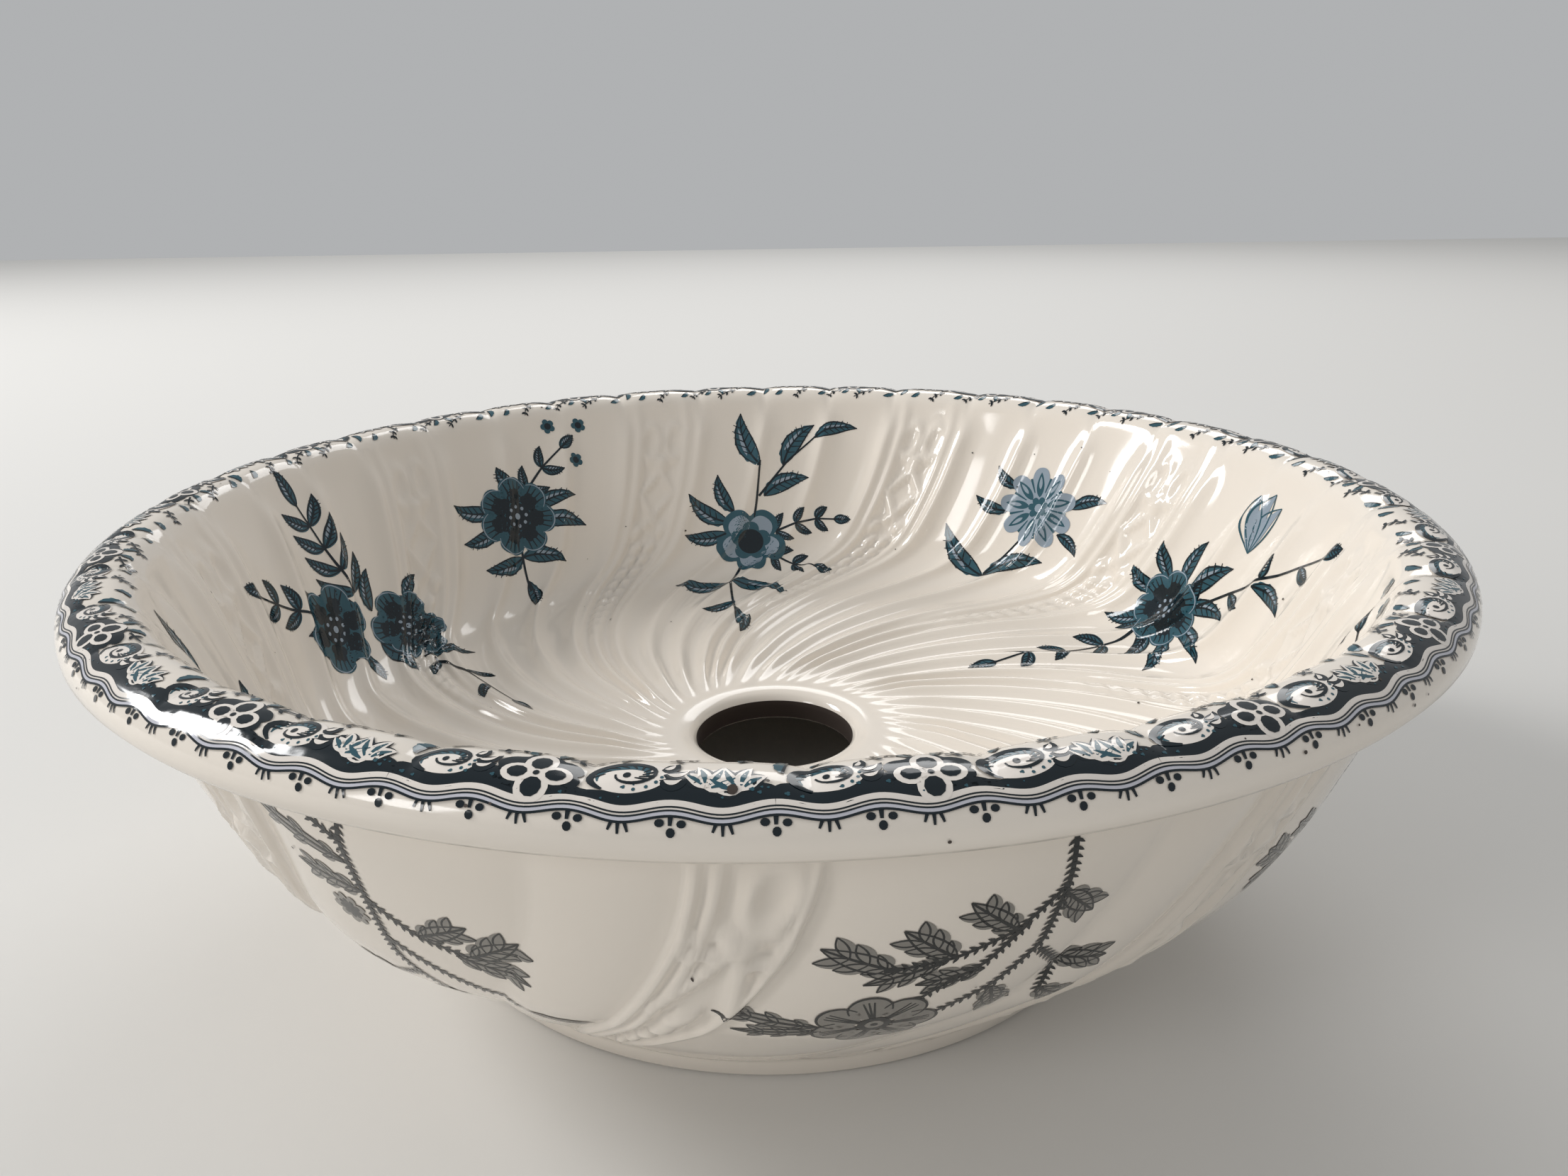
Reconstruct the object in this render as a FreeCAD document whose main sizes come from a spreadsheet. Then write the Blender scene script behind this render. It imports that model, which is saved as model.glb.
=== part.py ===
import FreeCAD, Part
import math
import os
from FreeCAD import Vector

# Round wash bowl in glazed earthenware with a drain hole in the floor.
# It is one moulded piece: fluted inside and outside, with a rolled rim on top and a foot ring below.
# The origin is on the bowl's axis, in the plane that the foot stands on, and +Z is up.

doc = FreeCAD.newDocument("wash_bowl")

sheet = doc.addObject("Spreadsheet::Sheet", "Sizes")
DRIVING_SIZES = [
    ("rim_dia", 340.0, "outside diameter of the rolled rim"),
    ("crest_dia", 322.4, "diameter of the rim's highest line"),
    ("crest_height", 110.9, "foot plane to the rim's highest line, in the dips between the lobes"),
    ("crest_width", 9.6, "width of the crest's section, along which it bends over"),
    ("crest_lean", 0.8, "how far that section stands inward of the crest diameter"),
    ("shoulder_inset", 9.0, "crest to the inside wall's top, measured level"),
    ("shoulder_height", 103.2, "foot plane to where the inside wall starts to bend over into the crest"),
    ("edge_height", 104.1, "foot plane to the middle of the rim's outer edge"),
    ("edge_thick", 3.8, "height of the rounded outer edge's upright part"),
    ("edge_slope_width", 1.4, "how far the edge's upper slope stands back from the rim diameter"),
    ("edge_slope_height", 4.6, "height of that slope's upper end above the middle of the edge"),
    ("underside_fall", 1.4, "fall of the rim's underside from the edge to the neck"),
    ("neck_inset", 11.8, "rim edge to the outside wall, measured level"),
    ("neck_round", 1.2, "bevel between the rim's underside and the outside wall"),
    ("wall_thick", 8.0, "thickness of the side wall under the rim, measured level"),
    ("wall_upper_drop", 8.3, "rim underside to the upper part of the inside wall"),
    ("wall_upper_inset", 3.4, "inside wall's upper part, inward from its top"),
    ("wall_mid_drop", 28.3, "rim underside to the middle of the inside wall"),
    ("wall_mid_inset", 11.4, "inside wall's middle, inward from its top"),
    ("bend_height", 54.0, "foot plane to where the inside wall meets the bend"),
    ("bend_inset", 18.6, "upper end of the bend, inward from the inside wall's top"),
    ("bend_width", 11.5, "level width of the bend between floor and wall"),
    ("floor_dish", 0.8, "rise of the floor halfway between hub and the rim of its even part"),
    ("floor_edge_rise", 4.6, "rise of the floor from the drain hole to the bend"),
    ("floor_mid_dia", 192.0, "diameter of the floor's even part"),
    ("floor_mid_rise", 2.7, "rise of the floor from the drain hole to the rim of its even part"),
    ("floor_height", 40.6, "foot plane to the floor at the drain hole"),
    ("floor_thick", 8.0, "thickness of the floor at the drain hole"),
    ("hub_width", 11.0, "width of the level floor round the drain hole"),
    ("hole_dia", 45.0, "bore of the drain hole"),
    ("lip_round", 5.0, "radius of the drain hole's upper lip"),
    ("hub_ledge", 1.0, "plain ledge between the lip and the first flutes"),
    ("throat_inset", 3.5, "outside wall's upper part, inward from the neck"),
    ("throat_drop", 12.3, "rim underside to the upper part of the outside wall"),
    ("belly_dia", 281.0, "outside diameter at the belly, on the section's outline"),
    ("belly_height", 51.0, "foot plane to the belly"),
    ("haunch_dia", 253.0, "outside diameter below the belly, on the section's outline"),
    ("haunch_height", 36.0, "foot plane to that point below the belly"),
    ("skirt_dia", 202.0, "outside diameter of the fluted wall's lower end"),
    ("skirt_height", 8.6, "foot plane to the fluted wall's lower end"),
    ("foot_dia", 193.6, "outside diameter of the foot ring at the ground"),
    ("foot_top_dia", 202.0, "outside diameter of the foot ring where the wall covers it"),
    ("foot_height", 12.0, "height of the foot ring, with the part inside the wall"),
    ("foot_land", 6.6, "width of the face that the foot stands on"),
    ("foot_bevel", 1.2, "bevel on the lower outer edge of the foot ring"),
    ("recess_top_dia", 220.0, "diameter of the hollow under the bowl at its top"),
    ("repeats", 9.0, "how often the pattern of flutes and bands repeats"),
    ("inner_band_angle", 11.4, "width of an ornamental band inside, in degrees"),
    ("inner_phase", 106.0, "middle of one band inside, in degrees from +X"),
    ("inner_twist", 54.0, "even turn of the inside flutes from rim to drain hole, in degrees"),
    ("lip_twist", 30.0, "further turn of the inside flutes close to the drain hole, in degrees"),
    ("swirl_inset", 20.0, "rim edge to where the inside flutes begin to turn, measured level"),
    ("ridge_height", 2.0, "height of the ridges between the inside flutes"),
    ("hub_fade", 16.0, "width round the hub over which the ridges rise to full height"),
    ("band_dip", 1.1, "depth of the groove on both sides of a band's field"),
    ("band_field", 0.9, "height of the field between a band's grooves"),
    ("crest_depth", 1.2, "bulge of the lobes on the rim crest"),
    ("outer_band_angle", 8.6, "width of an ornamental band outside, in degrees"),
    ("outer_flute_angle", 9.4, "width of the narrow flute beside each outer band, in degrees"),
    ("outer_phase", 269.0, "middle of one band outside, in degrees from +X"),
    ("outer_twist", 23.0, "turn of the outside flutes from neck to foot, in degrees"),
    ("panel_depth", 2.4, "bulge of the outside's wide panels"),
    ("flute_depth", 1.6, "bulge of the outside's narrow flutes"),
    ("outer_rib", 1.4, "height of the ribs that border an outside band"),
]
for row, (alias, value, note) in enumerate(DRIVING_SIZES, start=1):
    sheet.set(f"A{row}", note)
    sheet.set(f"B{row}", str(value))
    sheet.setAlias(f"B{row}", alias)
doc.recompute()


def size(alias):
    return float(sheet.get(alias))


# Radii and heights that follow from the driving sizes.
rim_radius = size("rim_dia") / 2
crest_radius = size("crest_dia") / 2
neck_radius = rim_radius - size("neck_inset")
neck_height = size("edge_height") - size("edge_thick") / 2 - size("underside_fall")
wall_top_radius = neck_radius - size("wall_thick")
hub_radius = size("hole_dia") / 2 + size("lip_round") + size("hub_ledge")
even_floor_radius = size("floor_mid_dia") / 2
level_floor_radius = hub_radius + size("hub_width")
floor_height = size("floor_height")
bend_top_radius = wall_top_radius - size("bend_inset")
bend_foot_radius = bend_top_radius - size("bend_width")
repeats = int(size("repeats"))
sector = 2 * math.pi / repeats
inner_band = math.radians(size("inner_band_angle"))
outer_band = math.radians(size("outer_band_angle"))
outer_flute = math.radians(size("outer_flute_angle"))


def ramp(value, low, high):
    """Smooth step from 0 at low to 1 at high."""
    share = min(1.0, max(0.0, (value - low) / (high - low)))
    return share * share * (3 - 2 * share)


def inner_swirl(radius):
    """Turn of the inside pattern: slow on the wall, even over the floor, quicker beside the drain hole."""
    travel = max(0.0, rim_radius - size("swirl_inset") - radius)
    longest = rim_radius - size("swirl_inset") - hub_radius
    start = 0.4 + 0.6 * ramp(travel, 0, 30)
    ending = max(0.0, 2 * hub_radius - radius) / hub_radius
    even_turn = size("inner_twist") * travel / longest * start
    return math.radians(even_turn + size("lip_twist") * ending ** 1.6)


def outer_swirl(height):
    """Turn of the outside pattern, which quickens towards the foot."""
    share = (neck_height - height) / (neck_height - size("skirt_height"))
    return -math.radians(size("outer_twist")) * max(0.0, share) ** 2


# Section outlines. Each is a control polygon: the section touches every leg of it at the leg's middle.
inside_outline = [
    (hub_radius, floor_height),
    (level_floor_radius, floor_height),
    ((level_floor_radius + even_floor_radius) / 2, floor_height + size("floor_dish")),
    (even_floor_radius, floor_height + size("floor_mid_rise")),
    (bend_foot_radius, floor_height + size("floor_edge_rise")),
    (bend_top_radius, size("bend_height")),
    (wall_top_radius - size("wall_mid_inset"), neck_height - size("wall_mid_drop")),
    (wall_top_radius - size("wall_upper_inset"), neck_height - size("wall_upper_drop")),
    (crest_radius - size("shoulder_inset"), size("shoulder_height")),
    (crest_radius - size("crest_lean") - size("crest_width") / 2, size("crest_height")),
    (crest_radius - size("crest_lean") + size("crest_width") / 2, size("crest_height")),
]
edge_outline = [
    (rim_radius - size("edge_slope_width"), size("edge_height") + size("edge_slope_height")),
    (rim_radius, size("edge_height") + size("edge_thick") / 2),
    (rim_radius, size("edge_height") - size("edge_thick") / 2),
    (rim_radius - size("edge_thick") / 2, neck_height + size("underside_fall") * 0.7),
    (neck_radius + size("neck_round"), neck_height),
]
outside_outline = [
    (neck_radius, neck_height - size("neck_round")),
    (neck_radius - size("throat_inset"), neck_height - size("throat_drop")),
    (size("belly_dia") / 2, size("belly_height")),
    (size("haunch_dia") / 2, size("haunch_height")),
    (size("skirt_dia") / 2, size("skirt_height")),
]


def stations(outline, widest_turn, longest_step):
    """Points with outward normals along an outline's curve, close together only where it bends."""
    curve = Part.BSplineCurve()
    ends = [3] + [1] * (len(outline) - 3) + [3]
    knots = [float(knot) for knot in range(len(outline) - 1)]
    poles = [Vector(radius, 0, height) for radius, height in outline]
    curve.buildFromPolesMultsKnots(poles, ends, knots, False, 2)
    fine = [knots[-1] * step / 600 for step in range(601)]
    chosen = [fine[0]]
    for parameter in fine[1:-1]:
        turn = curve.tangent(parameter)[0].getAngle(curve.tangent(chosen[-1])[0])
        if turn > widest_turn or curve.length(chosen[-1], parameter) > longest_step:
            chosen.append(parameter)
    if curve.length(chosen[-1], fine[-1]) < 0.3 * longest_step and len(chosen) > 2:
        chosen.pop()
    chosen.append(fine[-1])
    result = []
    for parameter in chosen:
        along = curve.tangent(parameter)[0]
        result.append((curve.value(parameter), Vector(-along.z, 0, along.x)))
    return result


def units(first_angle, widths):
    """Start angle and width of every unit of the pattern, once round the bowl."""
    result = []
    for repeat in range(repeats):
        start = first_angle + repeat * sector
        for kind, width in widths:
            result.append((kind, start, width))
            start += width
    return result


inner_units = units(
    math.radians(size("inner_phase")) - inner_band / 2,
    [("band", inner_band)] + [("flute", (sector - inner_band) / 3)] * 3,
)
outer_units = units(
    math.radians(size("outer_phase")) - outer_band / 2,
    [("band", outer_band), ("panel", sector - outer_band - outer_flute), ("flute", outer_flute)],
)

# Where each kind of unit has its columns, as a share of the unit's width, and its relief there.
ridge = size("ridge_height")
INNER_COLUMNS = {
    "band": [(0.0, ridge), (0.2, -size("band_dip")), (0.5, size("band_field")), (0.8, -size("band_dip"))],
    "flute": [(0.0, ridge), (0.28, 0.0), (0.72, 0.0)],
}
OUTER_COLUMNS = {
    "band": [(0.0, 0.0), (0.2, size("outer_rib")), (0.5, 0.2), (0.8, size("outer_rib"))],
    "panel": [(step / 6, size("panel_depth") * (1 - (step / 3 - 1) ** 2)) for step in range(6)],
    "flute": [(step / 3, size("flute_depth") * (1 - (step / 1.5 - 1) ** 2)) for step in range(3)],
}


def inner_ring(station):
    """One row of points round the inside: ridges and bands on the wall, which turn to lobes on the crest."""
    place, normal = station
    crest_share = ramp(place.x, wall_top_radius - 4, crest_radius - 5)
    fade = ramp(place.x, hub_radius, hub_radius + size("hub_fade"))
    ring = []
    for kind, start, width in inner_units:
        for across, relief in INNER_COLUMNS[kind]:
            lobe = size("crest_depth") * 4 * across * (1 - across)
            lift = (relief * (1 - crest_share) + lobe * crest_share) * fade
            ring.append(raised(place, normal, lift, start + width * across + inner_swirl(place.x)))
    return ring


def raised(place, normal, lift, angle):
    radius = place.x + normal.x * lift
    return Vector(radius * math.cos(angle), radius * math.sin(angle), place.z + normal.z * lift)


def edge_ring(station):
    """One plain row of points round the rim's outer edge."""
    place, normal = station
    ring = []
    for kind, start, width in inner_units:
        for across, _ in INNER_COLUMNS[kind]:
            ring.append(raised(place, normal, 0.0, start + width * across))
    return ring


def outer_ring(station):
    """One row of points round the outside wall, fainter in relief towards the neck and the foot."""
    place, normal = station
    fade = 0.35 + 0.65 * ramp(neck_height - place.z, 0, 14)
    fade *= 0.35 + 0.65 * ramp(place.z, size("skirt_height"), size("skirt_height") + 20)
    level = Vector(1, 0, 0)
    ring = []
    for kind, start, width in outer_units:
        for across, relief in OUTER_COLUMNS[kind]:
            ring.append(raised(place, level, relief * fade, start + width * across + outer_swirl(place.z)))
    return ring


def turn_of(point):
    return math.atan2(point.y, point.x) % (2 * math.pi)


def joined(first, second, first_offset, second_offset):
    """Triangles between two rings, walking round both by angle, for rings with any number of points."""
    turns = [[turn_of(point) for point in ring] for ring in (first, second)]
    starts = [turn.index(min(turn)) for turn in turns]
    sizes_of = [len(first), len(second)]
    offsets = [first_offset, second_offset]
    unrolled = []
    for side in (0, 1):
        count = sizes_of[side]
        order = [turns[side][(starts[side] + step) % count] for step in range(count)]
        unrolled.append(order + [order[0] + 2 * math.pi])

    def number(side, step):
        return offsets[side] + (starts[side] + step) % sizes_of[side]

    triangles = []
    steps = [0, 0]
    while steps[0] < sizes_of[0] or steps[1] < sizes_of[1]:
        ahead = [math.inf, math.inf]
        for side in (0, 1):
            if steps[side] < sizes_of[side]:
                ahead[side] = unrolled[side][steps[side] + 1]
        here = (number(0, steps[0]), number(1, steps[1]))
        if ahead[0] < ahead[1]:
            triangles.append((here[0], here[1], number(0, steps[0] + 1)))
            steps[0] += 1
        else:
            triangles.append((here[0], here[1], number(1, steps[1] + 1)))
            steps[1] += 1
    return triangles


def quilted(first_offset, second_offset, count):
    """Triangles between two rings with the same columns."""
    triangles = []
    for column in range(count):
        following = (column + 1) % count
        near, far = first_offset + column, second_offset + column
        near_next, far_next = first_offset + following, second_offset + following
        triangles += [(near, far, far_next), (near, far_next, near_next)]
    return triangles


def fluted_solid():
    """The bowl from the drain hole's hub over the rim to the foot, still full underneath."""
    rings = [inner_ring(station) for station in stations(inside_outline, math.radians(15), 13.0)]
    rings += [edge_ring(station) for station in stations(edge_outline, math.radians(28), 12.0)]
    inner_rows = len(rings)
    rings += [outer_ring(station) for station in stations(outside_outline, math.radians(12), 12.0)]
    points = []
    offsets = []
    for ring in rings:
        offsets.append(len(points))
        points += ring
    triangles = []
    for row in range(len(rings) - 1):
        if row == inner_rows - 1:
            triangles += joined(rings[row], rings[row + 1], offsets[row], offsets[row + 1])
        else:
            triangles += quilted(offsets[row], offsets[row + 1], len(rings[row]))
    points.append(Vector(0, 0, floor_height))
    hub = len(points) - 1
    points.append(Vector(0, 0, size("skirt_height")))
    base = len(points) - 1
    count = len(rings[0])
    triangles += [(hub, column, (column + 1) % count) for column in range(count)]
    count = len(rings[-1])
    last = offsets[-1]
    triangles += [(base, last + (column + 1) % count, last + column) for column in range(count)]
    shell = Part.Shape()
    shell.makeShapeFromMesh((points, triangles), 0.0005)
    solid = Part.makeSolid(shell)
    if solid.Volume < 0:
        solid.reverse()
    return solid


fluted_body = doc.addObject("Part::Feature", "fluted_body")
fluted_body.Shape = fluted_solid()

# The foot ring: a cone that widens upward into the wall, over a bevelled lower edge.
foot_cone = doc.addObject("Part::Cone", "foot_cone")
foot_cone.setExpression("Radius1", "Sizes.foot_dia / 2")
foot_cone.setExpression("Radius2", "Sizes.foot_top_dia / 2")
foot_cone.setExpression("Height", "Sizes.foot_height - Sizes.foot_bevel")
foot_cone.setExpression("Placement.Base.z", "Sizes.foot_bevel")

foot_edge = doc.addObject("Part::Cone", "foot_edge")
foot_edge.setExpression("Radius1", "Sizes.foot_dia / 2 - Sizes.foot_bevel")
foot_edge.setExpression("Radius2", "Sizes.foot_dia / 2")
foot_edge.setExpression("Height", "Sizes.foot_bevel")

raw_bowl = doc.addObject("Part::MultiFuse", "raw_bowl")
raw_bowl.Shapes = [fluted_body, foot_cone, foot_edge]
raw_bowl.Refine = True

# The hollow under the floor.
recess = doc.addObject("Part::Cone", "recess")
recess.setExpression("Radius1", "Sizes.foot_dia / 2 - Sizes.foot_land")
recess.setExpression("Radius2", "Sizes.recess_top_dia / 2")
recess.setExpression("Height", "Sizes.floor_height - Sizes.floor_thick")

# The drain hole.
drain_bore = doc.addObject("Part::Cylinder", "drain_bore")
drain_bore.setExpression("Radius", "Sizes.hole_dia / 2")
drain_bore.setExpression("Height", "Sizes.floor_height * 1.5")

# The lip's round is cut by three short cones, each steeper than the one above it.
lip_cones = []
for step in range(3):
    lip_cone = doc.addObject("Part::Cone", f"lip_cone_{step + 1}")
    low = f"{step * 30} deg"
    high = f"{(step + 1) * 30} deg"
    lip_cone.setExpression("Radius1", f"Sizes.hole_dia / 2 + Sizes.lip_round * (1 - cos({low}))")
    lip_cone.setExpression("Radius2", f"Sizes.hole_dia / 2 + Sizes.lip_round * (1 - cos({high}))")
    lip_cone.setExpression("Height", f"Sizes.lip_round * (sin({high}) - sin({low}))")
    lip_cone.setExpression("Placement.Base.z", f"Sizes.floor_height - Sizes.lip_round * (1 - sin({low}))")
    lip_cones.append(lip_cone)

openings = doc.addObject("Part::MultiFuse", "openings")
openings.Shapes = [recess, drain_bore] + lip_cones

bowl = doc.addObject("Part::Cut", "bowl")
bowl.Label = "bowl"
bowl.Base = raw_bowl
bowl.Tool = openings
doc.recompute()

for item in doc.Objects:
    if "Invalid" in item.State or "Error" in item.State:
        raise RuntimeError(f"{item.Label} is {item.State}")
    if hasattr(item, "Shape") and (item.Shape.isNull() or not item.Shape.isValid()):
        raise RuntimeError(f"{item.Label} has no valid shape")
if len(bowl.Shape.Solids) != 1:
    raise RuntimeError("the bowl must be one solid")

os.makedirs("parts", exist_ok=True)
bowl.Shape.exportStep("parts/bowl.step")
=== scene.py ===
import math
import random

import bpy
import numpy as np
from mathutils import Matrix, Vector


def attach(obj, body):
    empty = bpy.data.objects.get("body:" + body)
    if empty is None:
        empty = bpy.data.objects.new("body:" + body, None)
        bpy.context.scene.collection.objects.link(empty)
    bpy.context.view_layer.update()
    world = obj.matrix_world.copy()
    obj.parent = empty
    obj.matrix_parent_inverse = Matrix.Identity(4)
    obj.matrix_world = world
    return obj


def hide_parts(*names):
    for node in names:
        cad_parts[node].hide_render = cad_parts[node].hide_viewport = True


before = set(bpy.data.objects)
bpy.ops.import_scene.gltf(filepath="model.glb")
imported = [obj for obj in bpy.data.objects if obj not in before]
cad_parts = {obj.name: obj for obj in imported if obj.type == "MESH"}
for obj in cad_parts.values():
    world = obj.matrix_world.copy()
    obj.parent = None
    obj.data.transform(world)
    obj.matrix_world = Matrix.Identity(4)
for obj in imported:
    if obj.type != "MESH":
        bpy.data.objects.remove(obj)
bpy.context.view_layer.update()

# Wash bowl
# One press-moulded piece of cream earthenware under a clear glaze: a fluted bowl with a drain hole,
# a rolled and lobed rim and a plain foot ring. All sizes are in millimetres until the mesh is made.
MM_PER_METRE = 1000.0
RIM_RADIUS = 170.0
CREST_RADIUS = 161.2
CREST_HEIGHT = 110.9
NECK_RADIUS = 158.2
NECK_HEIGHT = 100.8
WALL_TOP_RADIUS = 150.2
FLOOR_HEIGHT = 40.6
HOLE_RADIUS = 22.5
LIP_ROUND = 4.2
HUB_RADIUS = 28.5
FLOOR_THICK = 8.0
SKIRT_RADIUS = 101.0
SKIRT_HEIGHT = 8.6
FOOT_RADIUS = 96.8
FOOT_INNER_RADIUS = FOOT_RADIUS - 6.6
RECESS_TOP_RADIUS = 110.0
RECESS_HEIGHT = FLOOR_HEIGHT - FLOOR_THICK
REPEATS = 9
SECTOR = 2 * math.pi / REPEATS

# Outlines of the turned section. The real curve touches each leg at its middle.
INSIDE_OUTLINE = [
    (HUB_RADIUS, FLOOR_HEIGHT), (39.5, FLOOR_HEIGHT), (67.75, 41.4), (96.0, 43.3), (120.1, 45.2),
    (131.6, 54.0), (138.8, 72.5), (146.8, 92.5), (152.2, 103.2), (155.6, CREST_HEIGHT),
    (165.2, CREST_HEIGHT), (168.6, 108.7), (RIM_RADIUS, 106.0), (RIM_RADIUS, 102.2), (168.1, 101.8),
    (NECK_RADIUS + 1.2, NECK_HEIGHT),
]
OUTSIDE_OUTLINE = [
    (NECK_RADIUS + 1.2, NECK_HEIGHT), (NECK_RADIUS - 0.2, NECK_HEIGHT - 1.4), (154.7, 88.5),
    (140.5, 51.0), (126.5, 36.0), (SKIRT_RADIUS, SKIRT_HEIGHT),
]
FOOT_CORNERS = [
    (99.9, 8.2), (99.2, 6.0), (FOOT_RADIUS + 0.7, 1.6), (FOOT_RADIUS, 0.7), (FOOT_RADIUS - 0.6, 0.15),
    (FOOT_RADIUS - 1.4, 0.0), (FOOT_INNER_RADIUS + 0.6, 0.0), (FOOT_INNER_RADIUS + 0.1, 0.4),
    (94.6, 10.0), (RECESS_TOP_RADIUS - 4.5, RECESS_HEIGHT - 1.5), (RECESS_TOP_RADIUS - 7, RECESS_HEIGHT),
]
ROOF_RADII = [88.0, 72.0, 56.0, 40.0, HOLE_RADIUS]
LIP_ANGLES = [0, 22, 45, 68]

# Spacing of the mesh's rows: the radius up to which a step holds, and the step.
FINE_STEP = 0.3
INSIDE_STEPS = [(60, 1.6), (98, 2.0), (152, 1.5), (163, 1.7), (math.inf, 1.6)]
OUTSIDE_STEPS = [(math.inf, 2.6)]
SHORTEST_STEP = 0.5
POINTS_PER_CURVE = 200


def travelled(line):
    """Distance along a line at each of its points."""
    return np.concatenate([[0], np.cumsum(np.linalg.norm(np.diff(line, axis=0), axis=1))])


def points_at(stops, travel, line):
    """Points of a line at the given distances along it."""
    return np.stack([np.interp(stops, travel, line[:, 0]), np.interp(stops, travel, line[:, 1])], axis=1)


def rounded(outline):
    """Even fine points along the curve that touches every leg of an outline at the leg's middle."""
    corners = [np.array(corner, float) for corner in outline]
    ends = [(a + b) / 2 for a, b in zip(corners[1:-2], corners[2:-1])]
    starts = [corners[0]] + ends
    ends = ends + [corners[-1]]
    share = np.linspace(0, 1, POINTS_PER_CURVE)[:, None]
    curve = np.concatenate([
        (1 - share) ** 2 * start + 2 * share * (1 - share) * corner + share ** 2 * end
        for start, corner, end in zip(starts, corners[1:-1], ends)])
    travel = travelled(curve)
    count = max(2, int(round(travel[-1] / FINE_STEP)) + 1)
    return points_at(np.linspace(0, travel[-1], count), travel, curve)


def spaced(line, steps):
    """Points along a line whose spacing changes with the radius."""
    travel = travelled(line)
    stops = [0.0]
    while stops[-1] < travel[-1]:
        radius = np.interp(stops[-1], travel, line[:, 0])
        stops.append(stops[-1] + next(step for limit, step in steps if radius < limit))
    if travel[-1] - stops[-2] < SHORTEST_STEP:
        stops.pop()
    return points_at(np.array(stops) * travel[-1] / stops[-1], travel, line)


def left_normals(line):
    """Unit leans to the left of a line, which is away from the clay."""
    along = np.gradient(line, axis=0)
    along /= np.linalg.norm(along, axis=1)[:, None]
    return np.stack([-along[:, 1], along[:, 0]], axis=1)


def ramp(value, low, high):
    """Smooth rise from 0 at a low value to 1 at a high one."""
    share = np.clip((np.asarray(value, float) - low) / (high - low), 0, 1)
    return share * share * (3 - 2 * share)


# The pattern turns as it runs down, in degrees: over the wall and the floor, with a last twist at the lip.
SWIRL_START_RADIUS = RIM_RADIUS - 20.0
INNER_TURN = 54.0
LIP_TWIST = 6.0
OUTER_TURN = 23.0


def inner_swirl(radius):
    """Turn of the inside pattern, in radians, which grows from the rim to the drain hole."""
    travel = np.maximum(0.0, SWIRL_START_RADIUS - radius)
    start = 0.4 + 0.6 * ramp(travel, 0, 30)
    ending = np.maximum(0.0, 2 * HUB_RADIUS - radius) / HUB_RADIUS
    whole = SWIRL_START_RADIUS - HUB_RADIUS
    return np.radians(INNER_TURN * travel / whole * start + LIP_TWIST * ending ** 1.6)


def outer_swirl(height):
    """Turn of the outside pattern, in radians, which grows from the neck to the foot."""
    share = np.maximum(0.0, (NECK_HEIGHT - height) / (NECK_HEIGHT - SKIRT_HEIGHT))
    return -np.radians(OUTER_TURN * share ** 2)


# One repeat is a band and three flutes inside; a band, a wide panel and a flute outside.
INNER_BAND = math.radians(11.4)
INNER_FLUTE = (SECTOR - INNER_BAND) / 3
OUTER_BAND = math.radians(8.6)
OUTER_FLUTE = math.radians(9.4)
OUTER_PANEL = SECTOR - OUTER_BAND - OUTER_FLUTE
INNER_PHASE = math.radians(106.0)
OUTER_PHASE = math.radians(269.0)
BAND_COLUMNS = 28
FLUTE_COLUMNS = 10
EDGE_PULL = 0.03
FLUTE_EDGE_PULL = 0.09


def repeat_columns(units):
    """Columns of one repeat: the angle, the place across the unit, and the unit's number. Each unit
    has its width, its count of columns and how strongly they draw together at its ends, at the ridges."""
    turns, places, numbers = [], [], []
    start = 0.0
    for number, (width, count, pull) in enumerate(units):
        even = np.arange(count) / count
        across = even - pull * np.sin(2 * math.pi * even)
        turns += list(start + across * width)
        places += list(across)
        numbers += [number] * count
        start += width
    return np.array(turns), np.array(places), np.array(numbers)


inner_turns, inner_across, inner_unit = repeat_columns(
    [(INNER_BAND, BAND_COLUMNS, EDGE_PULL)] + [(INNER_FLUTE, FLUTE_COLUMNS, FLUTE_EDGE_PULL)] * 3)
outer_turns, outer_across, outer_unit = repeat_columns([
    (OUTER_BAND, BAND_COLUMNS, EDGE_PULL), (OUTER_PANEL, 2 * FLUTE_COLUMNS, EDGE_PULL),
    (OUTER_FLUTE, FLUTE_COLUMNS, EDGE_PULL)])


def ring_bump(across, along, half_width, half_length, breadth):
    """Raised ring, a ribbon's loop, around the origin of a relief."""
    distance = np.sqrt((across / half_width) ** 2 + (along / half_length) ** 2)
    return np.exp(-((distance - 1) * min(half_width, half_length) / breadth) ** 2)


def bead(across, along, radius):
    """Round bead, highest at its middle."""
    return np.sqrt(np.clip(1 - (across ** 2 + along ** 2) / radius ** 2, 0, 1))


def cord(across, along, start, end, breadth):
    """Raised cord between two places of a relief."""
    span = np.array(end, float) - np.array(start, float)
    share = ((across - start[0]) * span[0] + (along - start[1]) * span[1]) / (span @ span)
    share = np.clip(share, 0, 1)
    distance = np.hypot(across - start[0] - share * span[0], along - start[1] - share * span[1])
    return np.exp(-(distance / breadth) ** 2)


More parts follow.
